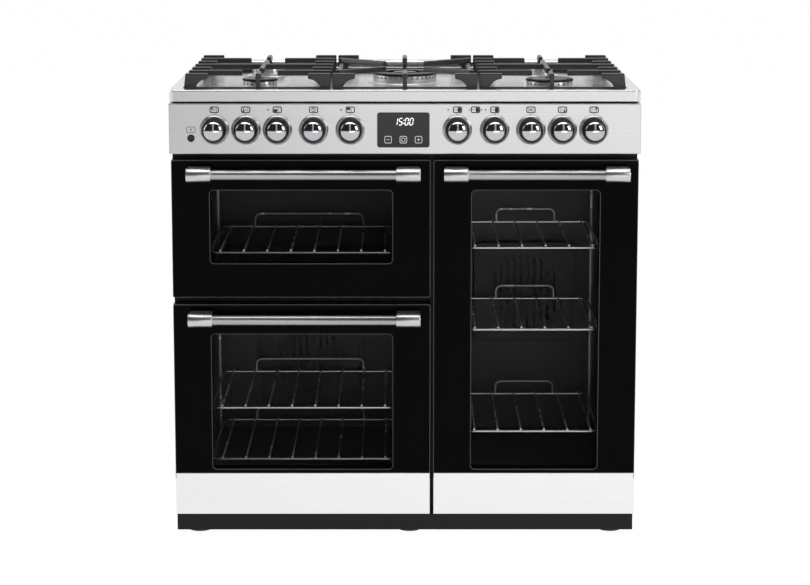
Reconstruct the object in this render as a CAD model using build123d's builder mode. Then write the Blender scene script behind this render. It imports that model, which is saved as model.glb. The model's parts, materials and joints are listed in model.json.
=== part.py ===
from build123d import *
import os
from math import cos, radians, sin, sqrt
from typing import NamedTuple

os.makedirs("parts", exist_ok=True)

# Free-standing range cooker: five gas burners over a grill oven, a main oven and a tall oven.
# Millimetres. X to the right, Y to the back, Z up, origin on the floor under the middle.

# Overall sizes
body_width = 900.0
body_depth = 600.0
handle_reach = 45.0
rear_recess = 30.0
sheet = 2.0

# Heights of the bands of the front, from the floor up
foot_pad_height = 8.0
plinth_height = 32.0
door_floor_gap = 2.0
door_stack_gap = 14.0
panel_gap = 12.0
panel_height = 96.0
hob_gap = 4.0
hob_height = 22.0
support_rise = 28.0

# Door layout
door_side_inset = 3.0
door_split_x = 52.0
door_split_gap = 6.0
door_thickness = 38.0
outer_glass = 5.0
inner_glass = 4.0
glass_corner = 4.0
trim_height = 84.0
trim_joint = 1.0
trim_proud = 0.5
window_side_margin = 73.0
window_top_margin = 58.0
window_sill = 66.0
window_trim_gap = 6.0
window_corner = 8.0
pane_lap = 20.0

# Door handles
handle_tube_radius = 10.0
handle_post_radius = 13.5
handle_post_length = 47.0
handle_stem_radius = 9.0
handle_drop = 25.0
handle_margin = 19.0
left_handle_margin = 31.0
handle_joint = 0.2

# Door hinges
hinge_edge = 12.0
hinge_depth = 12.0
hinge_inset = 33.0
hinge_arm_thickness = 6.0
hinge_arm_radius = 4.0
hinge_pin_radius = 3.0
hinge_pin_reach = 12.0
hinge_foot = 3.0
hinge_foot_width = 16.0
hinge_foot_height = 22.0
hinge_play = 0.5
running_fit = 0.05

# Chassis
frame_setback = 45.0
frame_sheet = 3.0
frame_lip = 15.0
side_inset = 2.0
tray_lip = 25.0
plinth_setback = 10.0
plinth_return = 20.0
plinth_side_return = 120.0
vent_slot_length = 24.0
vent_slot_height = 5.0
frame_vent_pitch = 31.2
rear_vent_pitch = 48.0
rear_vent_rise = 20.0
rear_vent_count = 12
foot_radius = 22.5
foot_stem_radius = 6.0
foot_side_inset = 46.0
foot_front_inset = 50.0
middle_foot_x = 9.0

# Oven cavities
motor_bay = 98.0
cavity_side_margin = 57.5
cavity_corner = 18.0
cavity_flange = 20.0
liner_joint = 0.2
main_cavity_floor = 68.0
main_cavity_height = 315.0
main_cavity_head = 33.0
grill_cavity_floor = 28.0
grill_cavity_height = 200.0
grill_cavity_head = 38.0
insulation = 20.0
insulation_rear_gap = 40.0
seal_inset = 6.0
seal_width = 8.0
seal_gap = 0.3

# Wire shelves and side racks
rail_radius = 3.0
edge_radius = 2.5
wire_radius = 2.0
wire_sides = 6
rack_radius = 2.5
rack_clearance = 0.3
rack_weld = 0.5
shelf_weld = 0.8
shelf_front_gap = 8.0
shelf_rear_gap = 50.0
shelf_pitch = 45.7
fence_height = 27.0
fence_inset = 70.0
fence_joint = 0.2
rack_end_gap = 20.0
grill_shelf_levels = (50.0,)
main_shelf_levels = (28.0, 132.0)
tall_shelf_levels = (84.0, 288.0, 450.0)

# Fans, elements and motors
fan_cover_size = 210.0
fan_cover_depth = 36.0
fan_guard_radius = 76.0
fan_slot_pitch = 14.0
fan_slot_width = 6.0
fan_radius = 72.0
fan_hub_radius = 14.0
fan_width = 20.0
fan_blades = 10
fan_disc = 2.0
fan_blade_inset = 2.0
fan_blade_root = 2.0
fan_shaft_radius = 4.0
fan_shaft_play = 1.1
fan_wall_gap = 6.0
fan_shaft_reach = 28.0
motor_radius = 36.0
motor_length = 46.0
element_radius = 3.5
ring_element_radius = 90.0
grill_element_drop = 24.0
grill_element_pitch = 80.0
grill_element_bend = 24.0
grill_element_front_gap = 60.0

# Control panel
knob_height = 46.0
knob_base_gap = 6.0
knob_skirt_radius = 23.5
knob_skirt_top = 20.0
knob_skirt_lip = 6.0
knob_skirt_height = 19.0
knob_face_radius = 18.5
knob_face_height = 27.0
knob_dome_radius = 12.0
knob_dome_height = 32.0
knob_crown_height = 34.0
knob_ridge_width = 5.2
knob_ridge_height = 36.0
knob_ridge_length = 15.5
knob_bore_depth = 20.0
bezel_radius = 28.5
bezel_bore = 25.0
bezel_height = 5.0
bezel_chamfer = 1.5
stem_radius = 4.0
stem_hole_radius = 6.0
stem_in_tap = 28.0
stem_in_knob = 18.0
tap_bore_depth = 34.0
clock_x = -3.0
clock_width = 100.0
clock_height = 67.0
clock_corner = 5.0
clock_proud = 1.5
clock_lap = 3.0
clock_clearance = 0.3
clock_depth = 30.0
button_drop = 16.0
button_radius = 6.75
button_clearance = 0.3
button_proud = 4.0
button_length = 14.0
button_travel_room = 4.0
switch_size = 44.0
switch_depth = 42.0
igniter_size = 24.0
igniter_depth = 16.0

# Gaps along the panel on either side of the clock, as shares of the length that the controls leave free
left_row_shares = (35.25, 9.75, 3.0, 3.0, 12.0, 13.0, 22.5)
right_row_shares = (24.5, 14.0, 12.0, 3.0, 3.0, 61.5)

# Gas supply
tap_width = 24.0
tap_height = 30.0
tap_length = 48.0
tap_outlet = 30.0
gas_rail_size = 16.0
gas_rail_end = 14.0
pipe_joint = 0.2
tube_radius = 4.0
tube_rise = 14.0
tube_bend = 9.0
tube_straight = 34.0
feed_margin = 58.0
feed_radius = 7.5
feed_clearance = 0.8
inlet_radius = 10.48
inlet_nut_radius = 15.0
inlet_nut_length = 8.0
inlet_end_gap = 4.0
terminal_margin = 120.0
terminal_z = 150.0
terminal_width = 110.0
terminal_height = 80.0
terminal_depth = 26.0
gland_radius = 10.25

# Hob
hob_corner = 12.0
hob_flange = 62.0
hob_edge = 1.5
well_depth = 8.0
well_side = 24.0
well_front = 26.0
well_rear = 58.0
well_corner = 24.0
flue_depth = 53.0
flue_height = 12.0
flue_slot_length = 60.0
flue_slot_width = 9.0
flue_slot_pitch = 90.0

# Pan supports
support_gap = 4.0
support_side_gap = 5.0
support_front_gap = 18.5
support_rear_gap = 30.5
bar_width = 11.0
bar_height = 11.0
bar_draft = 82.0
corner_bar = 43.0
short_bar = 40.0
long_finger = 105.0
leg_foot = 18.0
leg_splay = 4.0
side_rail_inset = 9.0
side_rail_width = 8.0
side_rail_height = 10.0
base_rail_height = 10.0
base_rail_width = 8.0
front_finger = 56.0
centre_finger = 104.0
wok_finger = 84.0
wok_tip_x = 39.0
wok_tip_y = 63.0

# Burners
medium_burner_radius = 35.0
medium_burner_ports = 18
large_burner_radius = 47.0
large_burner_ports = 24
small_burner_radius = 26.0
small_burner_ports = 14
wok_burner_radius = 65.0
wok_burner_ports = 30
cup_flange = 10.0
cup_plate = 4.0
cup_inset = 6.0
cup_drop = 26.0
cup_hole_inset = 3.0
injector_size = 22.0
injector_drop = 24.0
crown_inset = 2.0
crown_height = 12.0
port_length = 7.0
port_width = 2.6
port_height = 5.0
burner_cap_height = 5.0
cap_chamfer = 1.5
electrode_offset = 4.5
electrode_radius = 2.8
electrode_clearance = 0.25
electrode_height = 15.0
wok_ring_bore = 42.0
wok_core_radius = 24.0

# Levels worked out from the bands
plinth_top = foot_pad_height + plinth_height
doors_bottom = plinth_top + door_floor_gap
lower_floor = doors_bottom + main_cavity_floor
main_door_top = lower_floor + main_cavity_height + main_cavity_head
grill_door_bottom = main_door_top + door_stack_gap
grill_floor = grill_door_bottom + grill_cavity_floor
doors_top = grill_floor + grill_cavity_height + grill_cavity_head
tall_cavity_height = doors_top - main_cavity_head - lower_floor
panel_bottom = doors_top + panel_gap
panel_top = panel_bottom + panel_height
panel_middle = (panel_bottom + panel_top) / 2
knob_z = panel_bottom + knob_height
hob_bottom = panel_top + hob_gap
hob_top_z = hob_bottom + hob_height
well_z = hob_top_z - well_depth
support_top = hob_top_z + support_rise
bar_bottom = support_top - bar_height
tray_bottom = plinth_top - sheet

# Depths worked out from the front of the doors
rear_y = (body_depth + handle_reach) / 2
front_y = rear_y - body_depth
middle_y = (front_y + rear_y) / 2
door_back = front_y + door_thickness
frame_front = front_y + frame_setback
frame_back = frame_front + frame_sheet
panel_inner = front_y + sheet
back_outer = rear_y - rear_recess
back_inner = back_outer - sheet
cavity_front = frame_back
cavity_rear = back_inner - motor_bay
well_length = body_depth - well_front - well_rear
bar_pitch = (well_length - support_front_gap - support_rear_gap - bar_width) / 6
support_y = front_y + well_front + support_front_gap + bar_width / 2 + 3 * bar_pitch
tap_back = panel_inner + tap_length

# Widths
side_outer = body_width / 2 - side_inset
side_inner = side_outer - sheet
door_edge = body_width / 2 - door_side_inset
left_door_right = door_split_x - door_split_gap / 2
right_door_left = door_split_x + door_split_gap / 2
feed_x = body_width / 2 - feed_margin
terminal_x = terminal_margin - body_width / 2
well_width = body_width - 2 * well_side
support_width = (well_width - 2 * support_side_gap - 2 * support_gap) / 3
support_step = support_width + support_gap


class Door(NamedTuple):
    """An oven door with its outline, its trim strip and the edge that it is hinged on."""

    name: str
    left: float
    right: float
    bottom: float
    top: float
    trim: float
    hinge: str


class Cavity(NamedTuple):
    """The inside of an oven."""

    name: str
    x: float
    width: float
    floor: float
    height: float
    shelves: tuple
    fan: bool


class Burner(NamedTuple):
    """A gas burner: its place, its cap radius and its number of flame ports."""

    name: str
    x: float
    y: float
    radius: float
    ports: int
    tap_x: float


class Knob(NamedTuple):
    """A control knob and whether it sits on a gas tap."""

    name: str
    x: float
    gas: bool


doors = (
    Door("grill_door", -door_edge, left_door_right, grill_door_bottom, doors_top, 0.0, "bottom"),
    Door("main_door", -door_edge, left_door_right, doors_bottom, main_door_top, trim_height, "left"),
    Door("tall_door", right_door_left, door_edge, doors_bottom, doors_top, trim_height, "right"),
)

left_cavity_x = (left_door_right - door_edge) / 2
left_cavity_width = left_door_right + door_edge - 2 * cavity_side_margin
right_cavity_x = (right_door_left + door_edge) / 2
right_cavity_width = door_edge - right_door_left - 2 * cavity_side_margin

cavities = (
    Cavity("grill_cavity", left_cavity_x, left_cavity_width, grill_floor, grill_cavity_height,
           grill_shelf_levels, False),
    Cavity("main_cavity", left_cavity_x, left_cavity_width, lower_floor, main_cavity_height,
           main_shelf_levels, True),
    Cavity("tall_cavity", right_cavity_x, right_cavity_width, lower_floor, tall_cavity_height,
           tall_shelf_levels, True),
)


def spread(start, end, widths, shares):
    """The middles of pieces in a row, with the length that they leave free shared out between the gaps."""
    unit = (end - start - sum(widths)) / sum(shares)
    middles = []
    reach = start
    for width, share in zip(widths, shares):
        reach += share * unit
        middles.append(reach + width / 2)
        reach += width
    return middles


left_controls = (
    ("left_rear_burner", True),
    ("left_front_burner", True),
    ("main_oven", False),
    ("main_oven_mode", False),
    ("grill", False),
)
right_controls = (
    ("tall_oven_mode", False),
    ("tall_oven", False),
    ("centre_burner", True),
    ("right_front_burner", True),
    ("right_rear_burner", True),
)
left_widths = [2 * button_radius] + [2 * bezel_radius] * len(left_controls)
right_widths = [2 * bezel_radius] * len(right_controls)
button_x, *left_row = spread(-body_width / 2, clock_x - clock_width / 2, left_widths, left_row_shares)
right_row = spread(clock_x + clock_width / 2, body_width / 2, right_widths, right_row_shares)
knobs = [Knob(name, x, gas) for (name, gas), x in zip(left_controls + right_controls, left_row + right_row)]
gas_knobs = [knob for knob in knobs if knob.gas]
oven_knobs = [knob for knob in knobs if not knob.gas]
tap_places = {knob.name: knob.x for knob in gas_knobs}

front_burner_y = support_y - 2 * bar_pitch
rear_burner_y = support_y + 2 * bar_pitch
burners = (
    Burner("left_rear", -support_step, rear_burner_y, medium_burner_radius, medium_burner_ports,
           tap_places["left_rear_burner"]),
    Burner("left_front", -support_step, front_burner_y, medium_burner_radius, medium_burner_ports,
           tap_places["left_front_burner"]),
    Burner("centre", 0.0, support_y, wok_burner_radius, wok_burner_ports, tap_places["centre_burner"]),
    Burner("right_front", support_step, front_burner_y, large_burner_radius, large_burner_ports,
           tap_places["right_front_burner"]),
    Burner("right_rear", support_step, rear_burner_y, small_burner_radius, small_burner_ports,
           tap_places["right_rear_burner"]),
)
wok_burner = burners[2]
ring_burners = [burner for burner in burners if burner is not wok_burner]


def front_plane(y):
    """A plane that faces the front at depth y, with its x to the right and its y up."""
    return Plane.XZ.offset(-y)


def block(x0, x1, y0, y1, z0, z1, mode=Mode.ADD):
    """Add or cut a block between two corners."""
    with Locations(((x0 + x1) / 2, (y0 + y1) / 2, (z0 + z1) / 2)):
        Box(x1 - x0, y1 - y0, z1 - z0, mode=mode)


def save(builder, name):
    """Label a finished piece and write it."""
    builder.part.label = name
    export_step(builder.part, f"parts/{name}.step")


# Base tray: the floor of the body, with a lip up behind the front frame
with BuildPart() as base_tray:
    block(-side_inner, side_inner, front_y + plinth_setback + sheet, back_inner, tray_bottom, plinth_top)
    block(-side_inner, side_inner, frame_back, back_inner, plinth_top, plinth_top + tray_lip)
    block(-side_inner + sheet, side_inner - sheet, frame_back, back_inner - sheet,
          plinth_top, plinth_top + tray_lip, mode=Mode.SUBTRACT)
save(base_tray, "base_tray")

# Side panels: painted sheets with a flange under the hob
with BuildPart() as side_panels:
    block(side_inner, side_outer, frame_front, back_outer, tray_bottom, hob_bottom)
    block(side_inner - frame_lip, side_inner, frame_back, back_outer, hob_bottom - sheet, hob_bottom)
    mirror(about=Plane.YZ)
save(side_panels, "side_panels")

# Rear panel with a hole for the gas inlet and two rows of vents
with BuildPart() as rear_panel:
    with BuildSketch(front_plane(back_outer)):
        with Locations((0, (plinth_top + hob_bottom) / 2)):
            Rectangle(2 * side_inner, hob_bottom - plinth_top - 2 * sheet)
        with Locations((feed_x, knob_z)):
            Circle(feed_radius + feed_clearance, mode=Mode.SUBTRACT)
        with Locations((0, panel_middle)):
            with GridLocations(rear_vent_pitch, rear_vent_rise, rear_vent_count, 2):
                Rectangle(vent_slot_length, vent_slot_height, mode=Mode.SUBTRACT)
    extrude(amount=sheet)
save(rear_panel, "rear_panel")

# Front frame: a face plate with the oven mouths, the control bay and the cooling slots
with BuildPart() as front_frame:
    with BuildSketch(front_plane(frame_back)):
        with Locations((0, (plinth_top + hob_bottom) / 2)):
            Rectangle(2 * side_inner, hob_bottom - plinth_top)
        for cavity in cavities:
            with Locations((cavity.x, cavity.floor + cavity.height / 2)):
                RectangleRounded(cavity.width, cavity.height, cavity_corner, mode=Mode.SUBTRACT)
        with Locations((0, panel_middle)):
            Rectangle(2 * (side_inner - frame_lip), panel_height - 2 * sheet, mode=Mode.SUBTRACT)
        with Locations((left_cavity_x, main_door_top + door_stack_gap / 2)):
            with GridLocations(frame_vent_pitch, 0, int(left_cavity_width / frame_vent_pitch), 1):
                Rectangle(vent_slot_length, vent_slot_height, mode=Mode.SUBTRACT)
    extrude(amount=frame_sheet)
    for side in (-1, 1):
        lip_x = side * (side_inner - sheet / 2)
        block(lip_x - sheet / 2, lip_x + sheet / 2, frame_back, frame_back + frame_lip,
              plinth_top + tray_lip, hob_bottom - sheet)
save(front_frame, "front_frame")

# Plinth: a folded strip under the doors that hides the feet
with BuildPart() as plinth:
    plinth_front = front_y + plinth_setback
    block(-side_inner, side_inner, plinth_front, plinth_front + sheet, foot_pad_height, plinth_top)
    block(-side_inner, side_inner, plinth_front + sheet, plinth_front + plinth_return,
          tray_bottom - sheet, tray_bottom)
    for side in (-1, 1):
        return_x = side * (side_inner - sheet / 2)
        block(return_x - sheet / 2, return_x + sheet / 2, plinth_front, plinth_front + plinth_side_return,
              foot_pad_height, tray_bottom)
save(plinth, "plinth")

# Levelling feet: round pads on threaded stems
with BuildPart() as levelling_feet:
    foot_x = body_width / 2 - foot_side_inset
    foot_y = (front_y + foot_front_inset, back_inner - foot_front_inset)
    foot_places = [(x, y) for x in (-foot_x, middle_foot_x, foot_x) for y in foot_y]
    with BuildSketch():
        with Locations(*foot_places):
            Circle(foot_radius)
    extrude(amount=foot_pad_height)
    with BuildSketch(Plane.XY.offset(foot_pad_height)):
        with Locations(*foot_places):
            Circle(foot_stem_radius)
    extrude(amount=tray_bottom - foot_pad_height)
save(levelling_feet, "levelling_feet")

# Hob top: a folded tray with a pressed well and a hole under each burner
with BuildPart() as hob_top:
    well_y = middle_y + (well_front - well_rear) / 2
    with BuildSketch(Plane.XY.offset(hob_bottom)):
        with Locations((0, middle_y)):
            RectangleRounded(body_width, body_depth, hob_corner)
    extrude(amount=hob_height)
    with BuildSketch(Plane.XY.offset(hob_bottom + sheet)):
        with Locations((0, middle_y)):
            RectangleRounded(body_width - 2 * sheet, body_depth - 2 * sheet, hob_corner - sheet)
    extrude(amount=hob_height - 2 * sheet, mode=Mode.SUBTRACT)
    block(-body_width / 2 + hob_flange, body_width / 2 - hob_flange, front_y + hob_flange,
          rear_y - hob_flange, hob_bottom, hob_bottom + sheet, mode=Mode.SUBTRACT)
    with BuildSketch(Plane.XY.offset(well_z - sheet)):
        with Locations((0, well_y)):
            RectangleRounded(well_width + 2 * sheet, well_length + 2 * sheet, well_corner + sheet)
    extrude(amount=well_depth + sheet)
    with BuildSketch(Plane.XY.offset(well_z)):
        with Locations((0, well_y)):
            RectangleRounded(well_width, well_length, well_corner)
    extrude(amount=well_depth, mode=Mode.SUBTRACT)
    for burner in burners:
        with Locations((burner.x, burner.y, well_z)):
            Hole(burner.radius - cup_hole_inset, depth=sheet)
    chamfer(hob_top.edges().group_by(Axis.Z)[-1], length=hob_edge)
save(hob_top, "hob_top")

# Flue trim: the raised vent strip along the back of the hob
with BuildPart() as flue_trim:
    flue_width = body_width - 2 * well_side
    block(-flue_width / 2, flue_width / 2, rear_y - flue_depth, rear_y, hob_top_z, hob_top_z + flue_height)
    chamfer(flue_trim.edges().group_by(Axis.Z)[-1].sort_by(Axis.Y)[0], length=sheet)
    block(-flue_width / 2 + sheet, flue_width / 2 - sheet, rear_y - flue_depth + 2 * sheet, rear_y - sheet,
          hob_top_z, hob_top_z + flue_height - sheet, mode=Mode.SUBTRACT)
    with BuildSketch(Plane.XY.offset(hob_top_z + flue_height)):
        with Locations((0, rear_y - flue_depth / 2)):
            with GridLocations(flue_slot_pitch, 0, int(flue_width / flue_slot_pitch), 1):
                Rectangle(flue_slot_length, flue_slot_width)
    extrude(amount=-sheet, mode=Mode.SUBTRACT)
save(flue_trim, "flue_trim")

# Control panel: a folded fascia with holes for the stems, the clock and the ignition button
with BuildPart() as control_panel:
    with BuildSketch(front_plane(frame_front)):
        with Locations((0, panel_middle)):
            Rectangle(body_width, panel_height)
    extrude(amount=frame_setback)
    chamfer(control_panel.faces().sort_by(Axis.Y)[0].edges(), length=hob_edge)
    with BuildSketch(front_plane(frame_front)):
        with Locations((0, panel_middle)):
            Rectangle(body_width - 2 * sheet, panel_height - 2 * sheet)
    extrude(amount=frame_setback - sheet, mode=Mode.SUBTRACT)
    with BuildSketch(front_plane(panel_inner)):
        with Locations(*[(knob.x, knob_z) for knob in knobs]):
            Circle(stem_hole_radius)
        with Locations((clock_x, knob_z)):
            Rectangle(clock_width - 2 * clock_lap, clock_height - 2 * clock_lap)
        with Locations((button_x, knob_z - button_drop)):
            Circle(button_radius + button_clearance)
    extrude(amount=sheet, mode=Mode.SUBTRACT)
save(control_panel, "control_panel")

# Clock display: a glass face over a housing that passes through the panel
with BuildPart() as clock_display:
    with BuildSketch(front_plane(front_y)):
        with Locations((clock_x, knob_z)):
            RectangleRounded(clock_width, clock_height, clock_corner)
    extrude(amount=clock_proud)
    with BuildSketch(front_plane(front_y + clock_depth)):
        with Locations((clock_x, knob_z)):
            Rectangle(clock_width - 2 * clock_lap - 2 * clock_clearance,
                      clock_height - 2 * clock_lap - 2 * clock_clearance)
    extrude(amount=clock_depth)
save(clock_display, "clock_display")

# Knob bezels: bright rings on the panel round each knob
with BuildPart() as knob_bezels:
    with BuildSketch(front_plane(front_y)):
        with Locations(*[(knob.x, knob_z) for knob in knobs]):
            Circle(bezel_radius)
            Circle(bezel_bore, mode=Mode.SUBTRACT)
    extrude(amount=bezel_height)
    rims = knob_bezels.edges().filter_by(GeomType.CIRCLE).group_by(Axis.Y)[0]
    chamfer(rims.group_by(SortBy.RADIUS)[-1], length=bezel_chamfer)
save(knob_bezels, "knob_bezels")

# Gas rail: square rail, feed pipe with its threaded inlet, taps and burner tubes
with BuildPart() as gas_rail:
    rail_left = gas_knobs[0].x - tap_width / 2 - gas_rail_end
    rail_front = tap_back + pipe_joint
    block(rail_left, feed_x + gas_rail_end, rail_front, rail_front + gas_rail_size,
          knob_z - gas_rail_size / 2, knob_z + gas_rail_size / 2)
    with BuildSketch(front_plane(back_outer)):
        with Locations((feed_x, knob_z)):
            Circle(feed_radius)
    extrude(amount=back_outer - rail_front - gas_rail_size - pipe_joint)
    with BuildSketch(front_plane(back_outer + inlet_nut_length)):
        with Locations((feed_x, knob_z)):
            RegularPolygon(inlet_nut_radius, 6)
    extrude(amount=inlet_nut_length)
    with BuildSketch(front_plane(rear_y - inlet_end_gap)):
        with Locations((feed_x, knob_z)):
            Circle(inlet_radius)
    extrude(amount=rear_y - inlet_end_gap - back_outer - inlet_nut_length)
    for burner in burners:
        outlet_y = panel_inner + tap_outlet
        outlet_z = knob_z + tap_height / 2 + pipe_joint
        run_z = outlet_z + tube_rise
        turn_y = max(outlet_y + 2 * tube_bend, burner.y - tube_straight - abs(burner.x - burner.tap_x))
        route = [
            (burner.tap_x, outlet_y, outlet_z),
            (burner.tap_x, outlet_y, run_z),
            (burner.tap_x, turn_y, run_z),
            (burner.x, burner.y - tube_straight, run_z),
            (burner.x, burner.y - injector_size / 2 - pipe_joint, run_z),
        ]
        with BuildSketch(front_plane(tap_back)):
            with Locations((burner.tap_x, knob_z)):
                Rectangle(tap_width, tap_height)
        extrude(amount=tap_length)
        with BuildSketch(front_plane(panel_inner + tap_bore_depth)):
            with Locations((burner.tap_x, knob_z)):
                Circle(stem_radius + running_fit)
        extrude(amount=tap_bore_depth, mode=Mode.SUBTRACT)
        with BuildLine():
            FilletPolyline(*route, radius=tube_bend)
        with BuildSketch(Plane.XY.offset(outlet_z)):
            with Locations((burner.tap_x, outlet_y)):
                RegularPolygon(tube_radius, wire_sides)
        sweep()
save(gas_rail, "gas_rail")

# Oven switches behind the electric knobs, and the ignition switch behind its button
with BuildPart() as oven_switches:
    with BuildSketch(front_plane(panel_inner + switch_depth)):
        with Locations(*[(knob.x, knob_z) for knob in oven_knobs]):
            Rectangle(switch_size, switch_size)
            Circle(stem_radius + running_fit, mode=Mode.SUBTRACT)
    extrude(amount=switch_depth)
    igniter_y = front_y - button_proud + button_length + button_travel_room
    block(button_x - igniter_size / 2, button_x + igniter_size / 2, igniter_y, igniter_y + igniter_depth,
          knob_z - button_drop - igniter_size / 2, knob_z - button_drop + igniter_size / 2)
    for side in (-1, 1):
        ear_x = button_x + side * (igniter_size / 2 - sheet)
        block(ear_x - sheet, ear_x + sheet, panel_inner, igniter_y,
              knob_z - button_drop - igniter_size / 2, knob_z - button_drop + igniter_size / 2)
save(oven_switches, "oven_switches")

# Burner cups that hang in the hob, each with its injector block, and the spark electrodes beside them
with BuildPart() as burner_cups:
    for burner in burners:
        electrode_y = burner.y + burner.radius + electrode_offset
        with Locations((burner.x, burner.y, well_z)):
            Cylinder(burner.radius + cup_flange, cup_plate, align=(Align.CENTER, Align.CENTER, Align.MIN))
            Cylinder(burner.radius - cup_inset, cup_drop, align=(Align.CENTER, Align.CENTER, Align.MAX))
        with Locations((burner.x, burner.y, well_z - cup_drop)):
            Box(injector_size, injector_size, injector_drop, align=(Align.CENTER, Align.CENTER, Align.MAX))
        with Locations((burner.x, electrode_y, well_z + cup_plate)):
            Hole(electrode_radius + electrode_clearance, depth=cup_plate)
        with Locations((burner.x, electrode_y, well_z)):
            Cylinder(electrode_radius, electrode_height, align=(Align.CENTER, Align.CENTER, Align.MIN))
save(burner_cups, "burner_cups")

# Burner crowns with a ring of flame ports cut in their rims
with BuildPart() as burner_crowns:
    crown_z = well_z + cup_plate
    crown_top = crown_z + crown_height
    with BuildSketch(Plane.XY.offset(crown_z)):
        for burner in burners:
            with Locations((burner.x, burner.y)):
                Circle(burner.radius - crown_inset)
        with Locations((wok_burner.x, wok_burner.y)):
            Circle(wok_ring_bore + crown_inset, mode=Mode.SUBTRACT)
            Circle(wok_core_radius - crown_inset)
    extrude(amount=crown_height)
    with BuildSketch(Plane.XY.offset(crown_top)):
        for burner in burners:
            with Locations((burner.x, burner.y)):
                with PolarLocations(burner.radius - crown_inset, burner.ports):
                    Rectangle(2 * port_length, port_width)
    extrude(amount=-port_height, mode=Mode.SUBTRACT)
save(burner_crowns, "burner_crowns")

# Burner caps: enamelled lids, one ring and one core on the wok burner
with BuildPart() as burner_caps:
    with BuildSketch(Plane.XY.offset(crown_top)):
        for burner in burners:
            with Locations((burner.x, burner.y)):
                Circle(burner.radius)
        with Locations((wok_burner.x, wok_burner.y)):
            Circle(wok_ring_bore, mode=Mode.SUBTRACT)
            Circle(wok_core_radius)
    extrude(amount=burner_cap_height)
    chamfer(burner_caps.edges().group_by(Axis.Z)[-1], length=cap_chamfer)
save(burner_caps, "burner_caps")


def bar(start_x, start_y, end_x, end_y):
    """Add a cast bar with drafted sides whose top lies level with the support's top."""
    start = Vector(start_x, start_y, bar_bottom + bar_height / 2)
    along = Vector(end_x, end_y, start.Z) - start
    across = Vector(0, 0, 1).cross(along)
    with BuildSketch(Plane(origin=start, x_dir=across, z_dir=along)) as section:
        Trapezoid(bar_width, bar_height, bar_draft)
    extrude(section.sketch, amount=along.length)


def corner_leg(outer_x, y, inward, splay):
    """Add a corner bar with a leg below it that sweeps down to a splayed foot in a hollow curve."""
    rise = bar_bottom - well_z
    inner_x = outer_x + inward * corner_bar
    foot_x = outer_x + inward * leg_foot
    curve_x = inner_x - inward * (corner_bar - leg_foot) * cos(radians(45))
    with BuildSketch(front_plane(y + bar_width / 2)) as outline:
        with BuildLine():
            Polyline((foot_x, well_z), (outer_x - inward * splay, well_z), (outer_x, support_top),
                     (inner_x, support_top), (inner_x, bar_bottom))
            ThreePointArc((inner_x, bar_bottom), (curve_x, well_z + rise * sin(radians(45))), (foot_x, well_z))
        make_face()
    extrude(outline.sketch, amount=bar_width)


def base_frame(middle_x, outer_side):
    """Add what every pan support has: four corner legs, two side rails and two low end rails."""
    half = support_width / 2
    reach = 3 * bar_pitch
    for side in (-1, 1):
        outer_x = middle_x + side * half
        rail_x = outer_x - side * side_rail_inset
        block(rail_x - side_rail_width / 2, rail_x + side_rail_width / 2, support_y - reach, support_y + reach,
              bar_bottom - side_rail_height, bar_bottom)
        for end in (-1, 1):
            corner_leg(outer_x, support_y + end * reach, -side, leg_splay if side == outer_side else 0.0)
    for end in (-1, 1):
        end_y = support_y + end * reach
        block(middle_x - half + leg_foot / 2, middle_x + half - leg_foot / 2, end_y - base_rail_width / 2,
              end_y + base_rail_width / 2, well_z, well_z + base_rail_height)


def end_finger(middle_x, end, length):
    """Add a post on an end rail with a finger that runs from its top towards the middle."""
    post_y = support_y + end * 3 * bar_pitch
    outer_y = post_y + end * bar_width / 2
    block(middle_x - base_rail_width / 2, middle_x + base_rail_width / 2, post_y - bar_width / 2,
          post_y + bar_width / 2, well_z, bar_bottom)
    bar(middle_x, outer_y, middle_x, outer_y - end * length)


# Side pan supports: seven bars a side over two burners
for name, side in (("pan_support_left", -1), ("pan_support_right", 1)):
    with BuildPart() as side_support:
        middle_x = side * support_step
        left_x = middle_x - support_width / 2
        right_x = middle_x + support_width / 2
        base_frame(middle_x, side)
        for row, length in ((-2, long_finger), (-1, short_bar), (1, short_bar), (2, long_finger)):
            row_y = support_y + row * bar_pitch
            bar(left_x, row_y, left_x + length, row_y)
            bar(right_x - length, row_y, right_x, row_y)
        bar(left_x, support_y, right_x, support_y)
        bar(middle_x, support_y - centre_finger, middle_x, support_y + centre_finger)
        for end in (-1, 1):
            end_finger(middle_x, end, front_finger)
    save(side_support, name)

# Centre pan support: four slanted fingers and two straight ones round the wok burner
with BuildPart() as pan_support_centre:
    base_frame(0.0, 0)
    for side in (-1, 1):
        for end in (-1, 1):
            root_x = side * (support_width / 2 - side_rail_inset)
            root_y = support_y + end * 2 * bar_pitch
            bar(root_x, root_y, side * wok_tip_x, support_y + end * wok_tip_y)
            block(root_x - side_rail_width / 2, root_x + side_rail_width / 2, root_y - bar_width / 2,
                  root_y + bar_width / 2, well_z, support_top)
    for end in (-1, 1):
        end_finger(0.0, end, wok_finger)
save(pan_support_centre, "pan_support_centre")

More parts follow.
